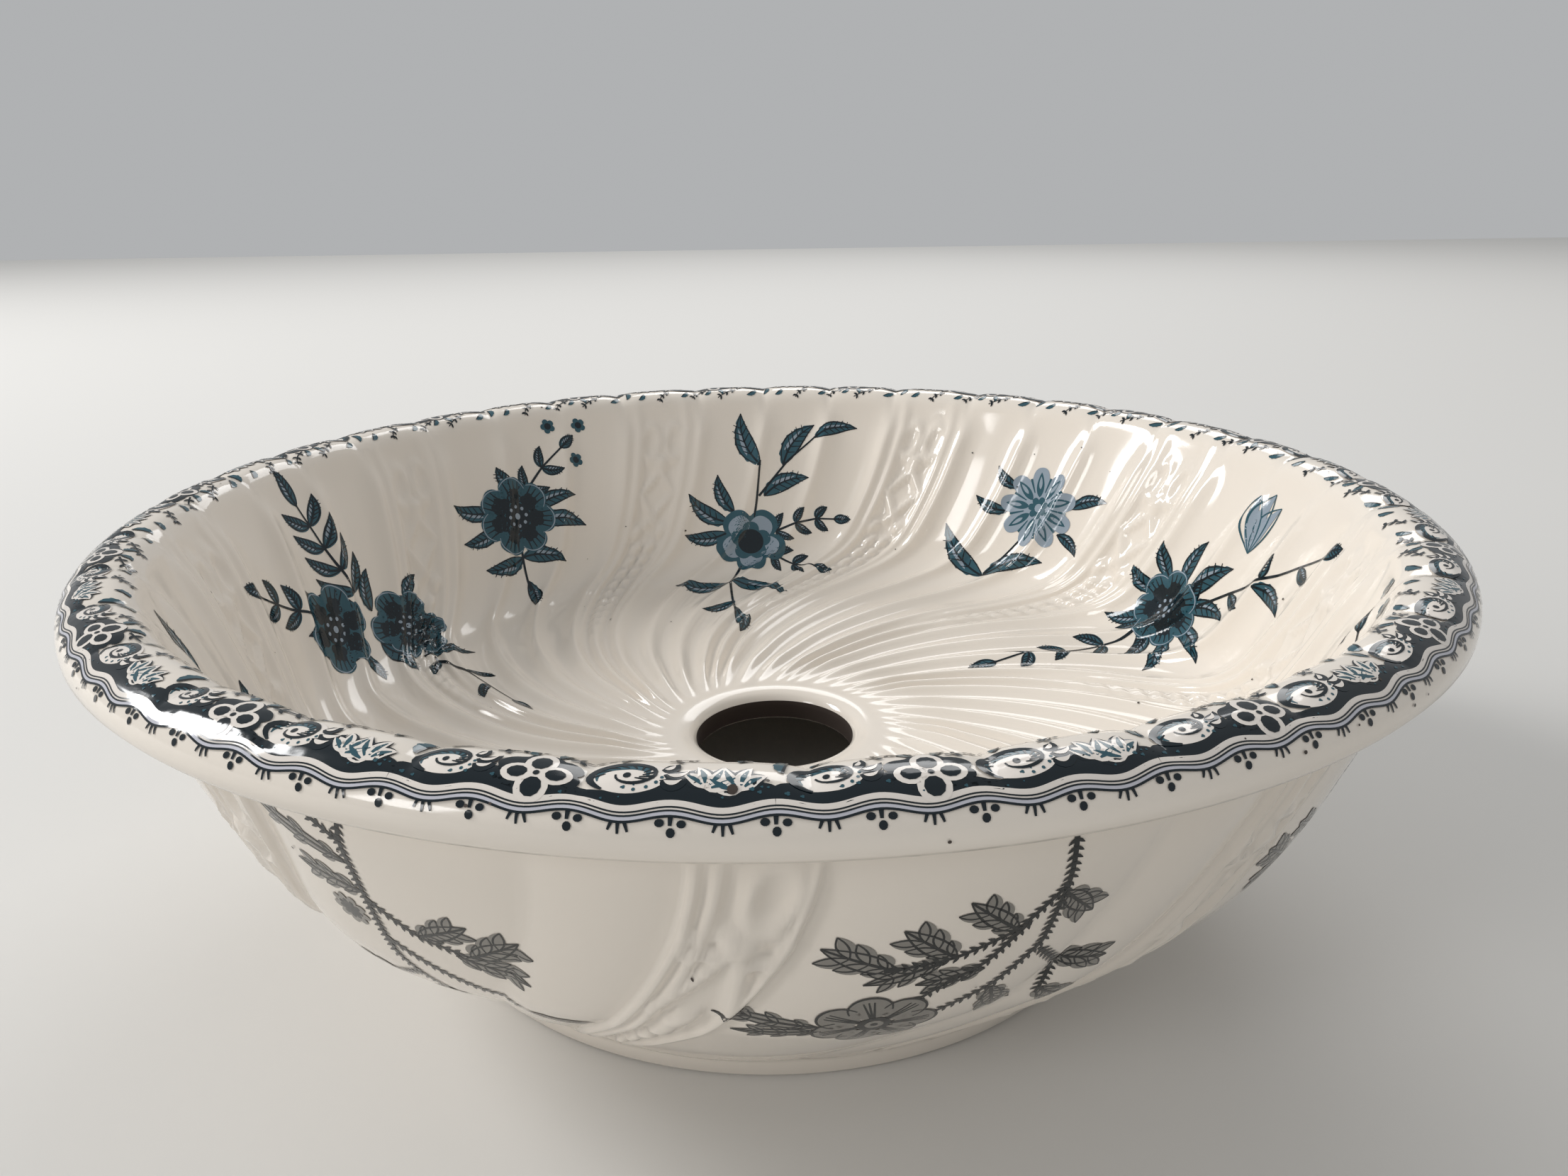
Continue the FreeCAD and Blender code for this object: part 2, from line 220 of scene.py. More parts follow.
def inner_ornament(across, fall):
    """Ribbon loops, crossing ribbons and a hanging chain of beads, in mm across a band and down
    from the crest."""
    loop = dict(half_width=3.2, half_length=6.5, breadth=1.1)
    height = sum(0.9 * ring_bump(across + side * 4.6, fall - 22, **loop) for side in (-1, 1))
    height = np.maximum(height, 1.3 * bead(across, fall - 29.5, radius=2.8))
    chain_top, chain_step = 62, 4.6
    for side in (-1, 1):
        knot, crossing, tail = (side * 2, 31), (-side * 6.5, 42), (side * 1.5, 53)
        height = np.maximum(height, cord(across, fall, knot, crossing, breadth=1.3))
        height = np.maximum(height, cord(across, fall, crossing, tail, breadth=1.3))
        height = np.maximum(height, 1.2 * bead((across - side * 5.2) / 1.2, (fall - 56) / 1.5, radius=2.2))
        for step in range(10):
            drop, aside = chain_top + chain_step * step, 2.6 - 0.12 * step
            height = np.maximum(height, 1.3 * bead(across - side * aside, fall - drop, radius=2.3))
    return height


def outer_ornament(across, fall):
    """A small loop, a tied bow with two tails and a few husks, in mm across a band and down
    from the neck."""
    height = 1.6 * ring_bump(across - 2.5, fall - 14, half_width=4.0, half_length=8.0, breadth=1.6)
    bow_fall = 27
    height = np.maximum(height, 2.4 * bead(across, fall - bow_fall, radius=3.4))
    bow_loop = dict(half_width=4.4, half_length=3.2, breadth=1.3)
    for side in (-1, 1):
        loop_relief = ring_bump(across - side * 5.4, fall - bow_fall - side, **bow_loop)
        height = np.maximum(height, 2.0 * loop_relief)
        height = np.maximum(height, 1.8 * cord(across, fall, (side * 1, 29), (side * 7, 46), breadth=1.7))
    for step in range(5):
        husk_radius = 3.0 - 0.3 * step
        height = np.maximum(height, 1.8 * bead(across, (fall - 50 - 6.5 * step) / 1.4, husk_radius))
    return height


# Heights of the relief over the plain section inside. Between two radii the round cords of the floor
# become the sharp ridges of the wall, and the relief rises from the hub and blends into the rim's lobes.
RIDGE_HEIGHT, RIDGE_BREADTH = 1.8, 3.2
FLUTE_HOLLOW = 0.4
SECOND_RIB_HEIGHT, SECOND_RIB_PLACE, SECOND_RIB_BREADTH = 1.6, 0.19, 0.055
CORD_HEIGHT = 2.0
INNER_ORNAMENT_HEIGHT = 1.3
LOBE_HEIGHT = 1.2
CORDS_TO_RIDGES = (76, 122)
RISE_FROM_HUB = (HUB_RADIUS + 3, HUB_RADIUS + 22)
WALL_TO_LOBES = (WALL_TOP_RADIUS - 3, CREST_RADIUS - 4)

# The same outside, where it fades to a third under the neck and over the skirt. Places are shares
# of the unit's width, and the wall narrows by less than half of its fall.
PANEL_HEIGHT = 2.4
OUTER_FLUTE_HEIGHT = 1.6
OUTER_RIB_HEIGHT, OUTER_RIB_PLACES, OUTER_RIB_BREADTH = 1.9, (0.1, 0.26, 0.9), 0.055
OUTER_ORNAMENT_HEIGHT, OUTER_ORNAMENT_PLACE = 1.2, 0.55
WALL_NARROWING = 0.45
NECK_FADE, SKIRT_FADE = 14, 20
rim_lobes = LOBE_HEIGHT * (1 - np.abs(2 * inner_across - 1) ** 4)


def inner_relief(radius, reach):
    """Height of the inside relief across one repeat, at one row of the section."""
    crest_share = float(ramp(radius, *WALL_TO_LOBES))
    wall_share = float(ramp(radius, *CORDS_TO_RIDGES))
    fade = float(ramp(radius, *RISE_FROM_HUB))
    in_band = inner_unit == 0
    widths = np.where(in_band, INNER_BAND, INNER_FLUTE) * radius
    from_edge = np.minimum(inner_across, 1 - inner_across) * widths
    ridge = RIDGE_HEIGHT * np.exp(-(from_edge / RIDGE_BREADTH) ** 2)
    ridge = ridge + FLUTE_HOLLOW * np.abs(2 * inner_across - 1) ** 3
    cord_wave = np.cos(2 * math.pi * np.where(in_band, 2, 1) * inner_across)
    cords = CORD_HEIGHT * (0.5 + 0.5 * cord_wave) ** 1.2
    from_rib = from_edge - SECOND_RIB_PLACE * widths
    second_rib = SECOND_RIB_HEIGHT * np.exp(-(from_rib / (SECOND_RIB_BREADTH * widths + 0.4)) ** 2)
    ornament = INNER_ORNAMENT_HEIGHT * inner_ornament((inner_across - 0.5) * widths, reach)
    band = np.maximum(ridge + second_rib, ornament)
    wall = np.where(in_band, band, ridge) * wall_share + cords * (1 - wall_share)
    return (wall * (1 - crest_share) + rim_lobes * crest_share) * fade


def outer_relief(height):
    """Height of the outside relief across one repeat, at one row of the section."""
    fall = NECK_HEIGHT - height
    fade = 0.3 + 0.7 * float(ramp(fall, 0, NECK_FADE))
    fade *= 0.3 + 0.7 * float(ramp(height, SKIRT_HEIGHT, SKIRT_HEIGHT + SKIRT_FADE))
    bulge = 1 - (2 * outer_across - 1) ** 2
    ribs = sum(np.exp(-((outer_across - place) / OUTER_RIB_BREADTH) ** 2) for place in OUTER_RIB_PLACES)
    width = OUTER_BAND * (NECK_RADIUS - WALL_NARROWING * fall)
    ornament = outer_ornament((outer_across - OUTER_ORNAMENT_PLACE) * width, fall)
    band = np.maximum(OUTER_RIB_HEIGHT * ribs, OUTER_ORNAMENT_HEIGHT * ornament) * ramp(bulge, 0, 0.3)
    panel, flute = PANEL_HEIGHT * bulge ** 0.8, OUTER_FLUTE_HEIGHT * bulge
    return np.choose(outer_unit, [band, panel, flute]) * fade


inside_line = spaced(rounded(INSIDE_OUTLINE), INSIDE_STEPS)
outside_line = spaced(rounded(OUTSIDE_OUTLINE), OUTSIDE_STEPS)[1:]
crest_row = int(np.argmax(inside_line[:, 1]))
inside_travel = travelled(inside_line)
reaches = inside_travel[crest_row] - inside_travel

# Rows of the mesh, from the drain hole over the rim to the foot: the place, the lean of the relief,
# its height, the turn of the pattern, and how far the columns have moved to those of the outside.
# Past the crest, the lobes run out and then the columns move over.
PLAIN = np.zeros(2)
OUTWARD = np.array([1.0, 0.0])
LOBES_FADE = (2, 8)
COLUMNS_MOVE = (12, 22)
hub_turn = float(inner_swirl(HUB_RADIUS))
foot_turn = float(outer_swirl(SKIRT_HEIGHT))
rows = []
for turn in np.radians(LIP_ANGLES):
    lip = LIP_ROUND * np.array([1 - math.cos(turn), math.sin(turn) - 1])
    rows.append((np.array([HOLE_RADIUS, FLOOR_HEIGHT]) + lip, PLAIN, 0.0, hub_turn, 0.0))
for place, normal, reach in zip(inside_line, left_normals(inside_line), reaches):
    if reach < 0:
        lobes = rim_lobes * (1 - float(ramp(-reach, *LOBES_FADE)))
        rows.append((place, normal, lobes, 0.0, float(ramp(-reach, *COLUMNS_MOVE))))
    else:
        rows.append((place, normal, inner_relief(place[0], reach), inner_swirl(place[0]), 0.0))
for place in outside_line:
    rows.append((place, OUTWARD, outer_relief(place[1]), outer_swirl(place[1]), 1.0))
for place in FOOT_CORNERS:
    rows.append((place, PLAIN, 0.0, foot_turn, 1.0))
# Over the flat roof of the hollow the columns turn back to those of the drain hole.
OVERSHOT_REPEATS = 3
for step, radius in enumerate(ROOF_RADII, start=1):
    share = step / len(ROOF_RADII)
    swirl = foot_turn * (1 - share) + (hub_turn - OVERSHOT_REPEATS * SECTOR) * share
    rows.append(((radius, RECESS_HEIGHT), PLAIN, 0.0, swirl, 1 - share))

# The outside's columns start a few whole repeats further round, where they meet the inside's.
REPEATS_BETWEEN = 4
points = []
for place, normal, relief, swirl, outward in rows:
    inside_turns = inner_turns + INNER_PHASE - INNER_BAND / 2
    outside_turns = outer_turns + OUTER_PHASE - OUTER_BAND / 2 - REPEATS_BETWEEN * SECTOR
    turns = inside_turns * (1 - outward) + outside_turns * outward + swirl
    lift = np.broadcast_to(relief, turns.shape)
    radius = np.tile(place[0] + normal[0] * lift, REPEATS)
    height = np.tile(place[1] + normal[1] * lift, REPEATS)
    turns = np.concatenate([turns + repeat * SECTOR for repeat in range(REPEATS)])
    points.append(np.stack([radius * np.cos(turns), radius * np.sin(turns), height], axis=1))
columns = len(points[0])
points = np.concatenate(points) / MM_PER_METRE
near = np.arange(len(rows))[:, None] * columns + np.arange(columns)[None, :]
closing = np.roll(near[0], OVERSHOT_REPEATS * columns // REPEATS)
far = np.concatenate([near[1:], closing[None, :]])
quads = np.stack([near, far, np.roll(far, -1, axis=1), np.roll(near, -1, axis=1)], axis=2).reshape(-1, 4)


def mesh_object(name, vertices, faces, material):
    """Smooth shaded object at the origin, of one material."""
    mesh = bpy.data.meshes.new(name)
    mesh.from_pydata([tuple(vertex) for vertex in vertices], [], [tuple(face) for face in faces])
    mesh.materials.append(material)
    mesh.polygons.foreach_set("use_smooth", [True] * len(mesh.polygons))
    mesh.update()
    made = bpy.data.objects.new(name, mesh)
    bpy.context.scene.collection.objects.link(made)
    return made


def linear(code):
    """Linear colour of an sRGB hex value."""
    channels = [int(code[place:place + 2], 16) / 255 for place in (1, 3, 5)]
    return tuple(c / 12.92 if c <= 0.04045 else ((c + 0.055) / 1.055) ** 2.4 for c in channels) + (1.0,)


GLAZE_ROUGHNESS = 0.1
GLAZE_IOR = 1.5


def fired(name, code, roughness=GLAZE_ROUGHNESS):
    """Fired ware: flat colour, under a clear lead glaze with sharp highlights unless made rougher."""
    material = bpy.data.materials.new(name)
    material.use_nodes = True
    shader = material.node_tree.nodes["Principled BSDF"]
    shader.inputs["Base Color"].default_value = linear(code)
    shader.inputs["Roughness"].default_value = roughness
    shader.inputs["IOR"].default_value = GLAZE_IOR
    return material


# Cream earthenware under a clear glaze, fired glossy: soft broad colour, sharp highlights.
cream_glaze = fired("clear glazed cream earthenware", "#EAE1D5")
bowl = mesh_object("glazed_bowl", points, quads, cream_glaze)
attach(bowl, "root")
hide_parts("bowl")

# Rim print
# A transfer print in navy ink, laid round the rim under the clear glaze: a wavy ribbon with dots and combs,
# dark waves, clear scrolls, four-petalled flowers and sprigs. One unit is drawn flat and repeated round
# the rim, eighteen times.
section_line = np.concatenate([inside_line, outside_line])
section_travel = travelled(section_line)
section_reach = section_travel[crest_row] - section_travel
section_lean = left_normals(section_line)

# Every drawn shape has a layer. Higher layers stand a little further off the glaze and cover lower ones:
# the first stands off by the lift, in mm, and each layer adds a share of it.
INK_LIFT = 0.06
RIM_LAYER = 0.42
SPRAY_LAYER = 0.3

# Every drawn shape is a grid of points. It hovers over the glaze before it is pressed on, and it is
# fine enough to follow the ridges. All in mm.
HOVER = 4.0
LANE_WIDTH = 1.1
RING_WIDTH = 0.75
LEAF_STEP = 0.7
ARC_POINTS = 14
THINNEST = 0.05


def on_section(reach):
    """Radius, height and lean of the plain section, in mm from the crest, inward positive."""
    columns_here = (section_line[:, 0], section_line[:, 1], section_lean[:, 0], section_lean[:, 1])
    return [np.interp(-reach, -section_reach, column) for column in columns_here]


def heading(start, end):
    """Unit steps along and aside of the way from one place to another."""
    along = (end - start) / np.linalg.norm(end - start)
    return along, np.array([-along[1], along[0]])


def ribbon(line, width):
    """Grid of points with the given width at each point of a line."""
    along = np.gradient(line, axis=0)
    along /= np.linalg.norm(along, axis=1)[:, None] + 1e-9
    aside = np.stack([-along[:, 1], along[:, 0]], axis=1)
    lanes = np.linspace(-0.5, 0.5, max(2, int(np.max(width) / LANE_WIDTH) + 2))
    return line[:, None, :] + aside[:, None, :] * (width[:, None] * lanes[None, :])[:, :, None]


def stroke(path, widths, step=1.0):
    """Tapered line through the given places, as a grid of points."""
    path = np.array(path, float)
    knots = travelled(path)
    travel = np.linspace(0, knots[-1], max(3, int(knots[-1] / step) + 2))
    line = points_at(travel, knots, path)
    for _ in range(2 if len(path) > 2 else 0):
        line[1:-1] = (line[:-2] + 2 * line[1:-1] + line[2:]) / 4
    return ribbon(line, np.interp(travel / knots[-1], np.linspace(0, 1, len(widths)), widths))


def leaf_line(start, end, bend, count):
    """Points of a bowed line between two places."""
    start, end = np.array(start, float), np.array(end, float)
    share = np.linspace(0, 1, count)[:, None]
    aside = np.array([-(end - start)[1], (end - start)[0]])
    return start + (end - start) * share + aside * bend * 4 * share * (1 - share)


def leaf(start, end, width, bend=0.0, teeth=0):
    """Pointed leaf between two places, bent to one side and toothed if asked."""
    count = max(9, int(math.dist(start, end) / LEAF_STEP) + 2, teeth * 4)
    share = np.linspace(0, 1, count)
    half = np.sin(math.pi * share ** 0.8) ** 0.8
    if teeth:
        half = half * (0.72 + 0.28 * (1 - (share * teeth) % 1))
    return ribbon(leaf_line(start, end, bend, count), np.maximum(half * width, THINNEST))


def disc(centre, radius, petals=0, depth=0.0, turned=0.0, squash=1.0):
    """Round spot, or a flower's outline when petals are asked for."""
    rings = max(2, int(radius / RING_WIDTH) + 1)
    steps = max(10, petals * 8, int(7 * radius))
    turns = np.linspace(0, 2 * math.pi, steps + 1) + turned
    edge = np.full(steps + 1, float(radius))
    if petals:
        edge = edge * (1 - depth * (1 - np.abs(np.sin(petals / 2 * (turns - turned)))) ** 1.4)
    share = np.linspace(0.02, 1, rings + 1)[:, None]
    across = centre[0] + share * edge * np.cos(turns)
    along = centre[1] + share * edge * np.sin(turns) * squash
    return np.stack([across, along], axis=2)


def arc(centre, radius, first, last, widths):
    """Curved stroke round a centre between two angles in degrees."""
    turns = np.radians(np.linspace(first, last, ARC_POINTS))
    path = np.stack([centre[0] + radius * np.cos(turns), centre[1] + radius * np.sin(turns)], axis=1)
    return stroke(path, widths, 0.8)


def laid(sheet, middle, layers, start=0.0, upward=1, girth=None):
    """Flat grid bent to hover over the bowl's section: across in mm along the rim, upward from a start."""
    reach = start + upward * sheet[:, :, 1]
    radius, height, out, up = on_section(reach)
    turns = middle + sheet[:, :, 0] / (girth or radius)
    radius, height = radius + out * HOVER, height + up * HOVER
    places = np.stack([radius * np.cos(turns), radius * np.sin(turns), height], axis=2) / MM_PER_METRE
    return places, np.stack([out, up], axis=2), np.full(reach.shape, INK_LIFT * layers / MM_PER_METRE)


LAYING_ATTRIBUTES = ("lean_out", "lean_up", "lift")


def print_sheet(name, laid_sheets):
    """One mesh from laid grids. Each point keeps the section's lean and its own lift for the laying."""
    vertices, faces, leans, lifts, offset = [], [], [], [], 0
    for places, lean, lift in laid_sheets:
        length, lanes = places.shape[:2]
        numbers = offset + np.arange(length * lanes).reshape(length, lanes)
        cells = np.stack([numbers[:-1, :-1], numbers[1:, :-1], numbers[1:, 1:], numbers[:-1, 1:]], axis=2)
        # A grid whose middle cell faces the clay is turned over.
        (x, y), (lean_out, lean_up) = places[0, 0, :2], lean[0, 0]
        out = np.array([lean_out * x, lean_out * y, lean_up * np.hypot(x, y)])
        row, lane = length // 2, lanes // 2
        before, beside = places[row - 1, lane], places[row, lane - 1]
        if np.dot(np.cross(places[row, lane] - before, places[row, lane] - beside), out) < 0:
            cells = cells[:, :, ::-1]
        vertices.append(places.reshape(-1, 3))
        leans.append(lean.reshape(-1, 2))
        lifts.append(lift.reshape(-1))
        faces.append(cells.reshape(-1, 4))
        offset += length * lanes
    made = mesh_object(name, np.concatenate(vertices), np.concatenate(faces), cream_glaze)
    leans = np.concatenate(leans)
    for label, values in zip(LAYING_ATTRIBUTES, (leans[:, 0], leans[:, 1], np.concatenate(lifts))):
        attribute = made.data.attributes.new(label, "FLOAT", "POINT")
        attribute.data.foreach_set("value", values.astype(np.float32))
    return made


def add_node(tree, kind, settings=None, links=None):
    """One node with its settings, as property or input names, and the sockets that feed its inputs."""
    node = tree.nodes.new(kind)
    for key, value in (settings or {}).items():
        if isinstance(key, str) and hasattr(node, key):
            setattr(node, key, value)
        else:
            node.inputs[key].default_value = value
    for key, socket in (links or {}).items():
        tree.links.new(socket, node.inputs[key])
    return node


LONGEST_FALL = 0.02


def laying_tree():
    """Repeats a flat print round the bowl's axis and presses every point of it onto the glaze."""
    tree = bpy.data.node_groups.new("print laid on the glaze", "GeometryNodeTree")
    for label, kind in (("Print", "NodeSocketGeometry"), ("Bowl", "NodeSocketObject"),
                        ("Count", "NodeSocketInt"), ("Ink", "NodeSocketMaterial")):
        tree.interface.new_socket(label, in_out="INPUT", socket_type=kind)
    tree.interface.new_socket("Print", in_out="OUTPUT", socket_type="NodeSocketGeometry")
    source = add_node(tree, "NodeGroupInput").outputs
    spots = add_node(tree, "GeometryNodeMeshLine", {"Offset": (0, 0, 0)}, {"Count": source["Count"]})
    number = add_node(tree, "GeometryNodeInputIndex").outputs[0]
    full = add_node(tree, "ShaderNodeMath", {"operation": "MULTIPLY", 1: 2 * math.pi}, {0: number})
    turn = add_node(tree, "ShaderNodeMath", {"operation": "DIVIDE"}, {
        0: full.outputs[0], 1: source["Count"]})
    spin = add_node(tree, "ShaderNodeCombineXYZ", None, {"Z": turn.outputs[0]})
    repeated = add_node(tree, "GeometryNodeInstanceOnPoints", None, {
        "Points": spots.outputs[0], "Instance": source["Print"], "Rotation": spin.outputs[0]})
    real = add_node(tree, "GeometryNodeRealizeInstances", None, {0: repeated.outputs[0]})
    place = add_node(tree, "GeometryNodeInputPosition").outputs[0]
    level = add_node(tree, "ShaderNodeVectorMath", {"operation": "MULTIPLY", 1: (1, 1, 0)}, {0: place})
    outward = add_node(tree, "ShaderNodeVectorMath", {"operation": "NORMALIZE"}, {0: level.outputs[0]})
    lean_out, lean_up, lift = [
        add_node(tree, "GeometryNodeInputNamedAttribute", {"Name": label}).outputs[0]
        for label in LAYING_ATTRIBUTES]
    level_lean = add_node(tree, "ShaderNodeVectorMath", {"operation": "SCALE"}, {
        0: outward.outputs[0], "Scale": lean_out})
    upright = add_node(tree, "ShaderNodeCombineXYZ", None, {"Z": lean_up})
    lean = add_node(tree, "ShaderNodeVectorMath", {"operation": "ADD"}, {
        0: level_lean.outputs[0], 1: upright.outputs[0]})
    fall = add_node(tree, "ShaderNodeVectorMath", {"operation": "SCALE", "Scale": -1.0}, {
        0: lean.outputs[0]})
    target = add_node(tree, "GeometryNodeObjectInfo", None, {"Object": source["Bowl"]})
    ray = add_node(tree, "GeometryNodeRaycast", {"Ray Length": LONGEST_FALL}, {
        "Target Geometry": target.outputs["Geometry"], "Source Position": place,
        "Ray Direction": fall.outputs[0]})
    raised_by = add_node(tree, "ShaderNodeVectorMath", {"operation": "SCALE"}, {
        0: lean.outputs[0], "Scale": lift})
    pressed = add_node(tree, "ShaderNodeVectorMath", {"operation": "ADD"}, {
        0: ray.outputs["Hit Position"], 1: raised_by.outputs[0]})
    moved = add_node(tree, "GeometryNodeSetPosition", None, {
        "Geometry": real.outputs[0], "Selection": ray.outputs["Is Hit"], "Position": pressed.outputs[0]})
    inked = add_node(tree, "GeometryNodeSetMaterial", None, {
        "Geometry": moved.outputs[0], "Material": source["Ink"]})
    add_node(tree, "NodeGroupOutput", None, {0: inked.outputs[0]})
    return tree


# Inks of the print, fired under the glaze, from nearly black navy to pale lilac, and the bare glaze kept
# clear inside dark fields.
INKS = {
    "navy": fired("navy transfer ink under glaze", "#03151D"),
    "slate": fired("slate blue transfer ink under glaze", "#2B525E"),
    "lilac": fired("pale lilac transfer ink under glaze", "#C6C6CE"),
    "mist": fired("pale blue grey transfer ink under glaze", "#8F9CA8"),
    "clear": fired("cream glaze kept clear in the print", "#E9E1D8"),
    "grey": fired("grey black transfer ink under glaze", "#222424"),
    "ash": fired("ash grey transfer ink under glaze", "#85817A"),
}
laying = laying_tree()


def lay_print(name, ink_name, laid_sheets, count):
    """Build a print of one ink, repeat it, press it onto the bowl and keep the result as a plain mesh."""
    flat = print_sheet(name + "_flat", laid_sheets)
    modifier = flat.modifiers.new("laying", "NODES")
    modifier.node_group = laying
    settings = {"Bowl": bowl, "Count": count, "Ink": INKS[ink_name]}
    for item in laying.interface.items_tree:
        if item.item_type == "SOCKET" and item.in_out == "INPUT" and item.name in settings:
            modifier[item.identifier] = settings[item.name]
    depsgraph = bpy.context.evaluated_depsgraph_get()
    mesh = bpy.data.meshes.new_from_object(flat.evaluated_get(depsgraph))
    flat.modifiers.remove(modifier)
    bpy.data.objects.remove(flat)
    mesh.name = name
    for label in LAYING_ATTRIBUTES:
        mesh.attributes.remove(mesh.attributes[label])
    made = bpy.data.objects.new(name, mesh)
    bpy.context.scene.collection.objects.link(made)
    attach(made, "root")


# One unit of the border, drawn flat: across in mm along the crest, inward in mm from it.
BORDER_COUNT = 18
UNIT = 2 * math.pi * CREST_RADIUS / BORDER_COUNT
CLUSTER = UNIT / 4
RIBBON_MIDDLE = -7.9
RIBBON_POINTS = 73
WAVE_POINTS = 60


def ribbon_height(across):
    """Middle of the wavy ribbon, in mm inward of the crest: it rises at each cluster of dots."""
    cluster_wave = 0.55 * np.cos(2 * math.pi * across / CLUSTER)
    return RIBBON_MIDDLE + cluster_wave + 0.25 * np.sin(2 * math.pi * across / UNIT)


border = {"navy": [], "slate": [], "lilac": [], "clear": []}
across = np.linspace(0, UNIT, RIBBON_POINTS)
ribbon_line = np.stack([across, ribbon_height(across)], axis=1)
for tone, inward, width, layer in (
        ("clear", 0.35, 2.3, 5), ("lilac", -0.35, 0.7, 6),
        ("navy", 0.5, 0.24, 7), ("navy", 0.0, 0.26, 7), ("navy", -0.8, 0.36, 7)):
    band = ribbon(ribbon_line + [0, inward], np.full(RIBBON_POINTS, width))
    border[tone].append((band, layer))
# Below the ribbon hang a stalk with three dots at each rise and a comb of three teeth between them.
for step in range(4):
    x = CLUSTER * step
    low = float(ribbon_height(x)) - 0.9
    border["navy"] += [
        (stroke([(x, low + 0.3), (x, low - 1.2)], [0.75, 0.5], 0.5), 4),
        (disc((x - 1.45, low - 0.85), 0.68, squash=0.85), 4),
        (disc((x + 1.5, low - 0.95), 0.66, squash=0.85), 4),
        (disc((x + 0.1, low - 2.15), 0.62, squash=1.1), 4),
    ]
    x = CLUSTER * (step + 0.5)
    low = float(ribbon_height(x)) - 0.9
    for side, length in ((-1, 1.0), (0, 1.5), (1, 1.2)):
        tip = (x + side * 1.35, low - length)
        border["navy"].append((stroke([(x + side * 0.8, low + 0.4), tip], [0.6, 0.34], 0.6), 4))


def dark_wave(start, length, height, lean):
    """Dark crescent on the ribbon, steep at one end and thin at the other, with a ragged top."""
    share = np.linspace(0, 1, WAVE_POINTS)
    x = start + length * share
    if lean < 0:
        share = np.linspace(1, 0, WAVE_POINTS)
    low = ribbon_height(x) + 1.2
    ragged = 0.35 * np.abs(np.sin(share * 17)) + 0.25 * np.abs(np.sin(share * 41))
    top = low + 1.3 + (height + ragged) * np.sin(math.pi * share ** 0.55) ** 1.1
    upward = low[:, None] + (top - low)[:, None] * np.linspace(0, 1, 8)
    return np.stack([np.broadcast_to(x[:, None], upward.shape), upward], axis=2)


def scroll_leaf(tones, middle, size, turned, flip):
    """Curled leaf kept clear above the dark wave: a dark spiral back, hatched inside, with fronds."""
    flatness = 0.56

    def at(distance, angle):
        """Place at a share of the leaf's size from its middle, turned and flattened with the leaf."""
        angle = math.radians(turned + flip * angle)
        return (middle[0] + size * distance * math.cos(angle),
                middle[1] + size * distance * math.sin(angle) * flatness)

    def drawn_in(angle):
        """How far the spiral has come in from the leaf's edge."""
        return 0.0019 * max(0, angle - 40)

    tones["clear"].append((disc(middle, size, squash=flatness), 5))
    back = [at(1.0 - drawn_in(angle), angle) for angle in range(-30, 392, 14)]
    tones["navy"].append((stroke(back, [0.4, 1.3, 1.1, 0.8, 0.6, 0.5, 0.3], 0.8), 8))
    shading = [at(0.82 - drawn_in(angle), angle) for angle in range(0, 230, 14)]
    tones["slate"].append((stroke(shading, [0.2, 0.2 * size, 0.3 * size, 0.24 * size, 0.2], 0.8), 6))
    for angle in range(20, 240, 24):
        reach = 0.96 - drawn_in(angle)
        hatch = [at(reach, angle), at(reach - 0.34, angle + 18)]
        tones["navy"].append((stroke(hatch, [0.55, 0.2], 0.6), 7))
    for angle in range(215, 300, 22):
        tones["slate"].append((disc(at(0.84, angle), 0.28), 7))
    tones["navy"].append((disc(at(0.05, 0), size * 0.1), 8))
    for angle, reach in ((228, 1.5), (204, 1.66), (180, 1.5)):
        frond = leaf(at(0.85, angle), at(reach, angle - 14), size * 0.36, 0.2 * flip)
        light = leaf(at(0.95, angle - 2), at(reach - 0.16, angle - 12), size * 0.13, 0.2 * flip)
        tones["navy"].append((frond, 6))
        tones["clear"].append((light, 8))


def fanned_leaf(tones, root, size, spread):
    """Fan of clear lobes with dark edges and shaded ribs, springing from one root beside the dark wave."""
    bend = 0.12 * spread
    for lean, share in ((-52, 1.0), (-20, 1.15), (12, 1.05), (42, 0.8)):
        angle = math.radians(90 - spread * lean)
        length = size * share
        tip = (root[0] + length * math.cos(angle), root[1] + length * math.sin(angle) * 0.7)
        tones["navy"].append((leaf(root, tip, size * 0.5, bend), 5))
        tones["clear"].append((leaf(root, tip, size * 0.33, bend), 6))
        tones["slate"].append((stroke(leaf_line(root, tip, bend, 7)[1:6], [0.3, 0.9, 0.2]), 7))


def barbed_sprig(tones, path, barb):
    """Thin twig with short barbs on both sides."""
    path = np.array(path, float)
    tones["navy"].append((stroke(path, [0.5, 0.28], 0.8), 6))
    for near, far in zip(path[:-1], path[1:]):
        along, aside = heading(near, far)
        foot = (near + far) / 2
        for side in (-1, 1):
            tip = foot + along * barb * 0.8 + aside * side * barb
            tones["navy"].append((leaf(foot, tip, 0.75, 0.1 * side), 6))


def four_petals(tones, middle, size):
    """Flower of four dark petals with clear edges, longer across than along."""
    for quarter in range(4):
        across, along = math.cos(math.pi / 2 * quarter), math.sin(math.pi / 2 * quarter)
        petal = (middle[0] + across * size * 0.58, middle[1] + along * size * 0.46)
        stretch = 0.72 if across ** 2 > 0.5 else 1.0
        tones["clear"].append((disc(petal, size * 0.5, squash=stretch), 6))
        tones["navy"].append((disc(petal, size * 0.31, squash=stretch), 8))
    tones["navy"].append((disc(middle, size * 0.1), 9))


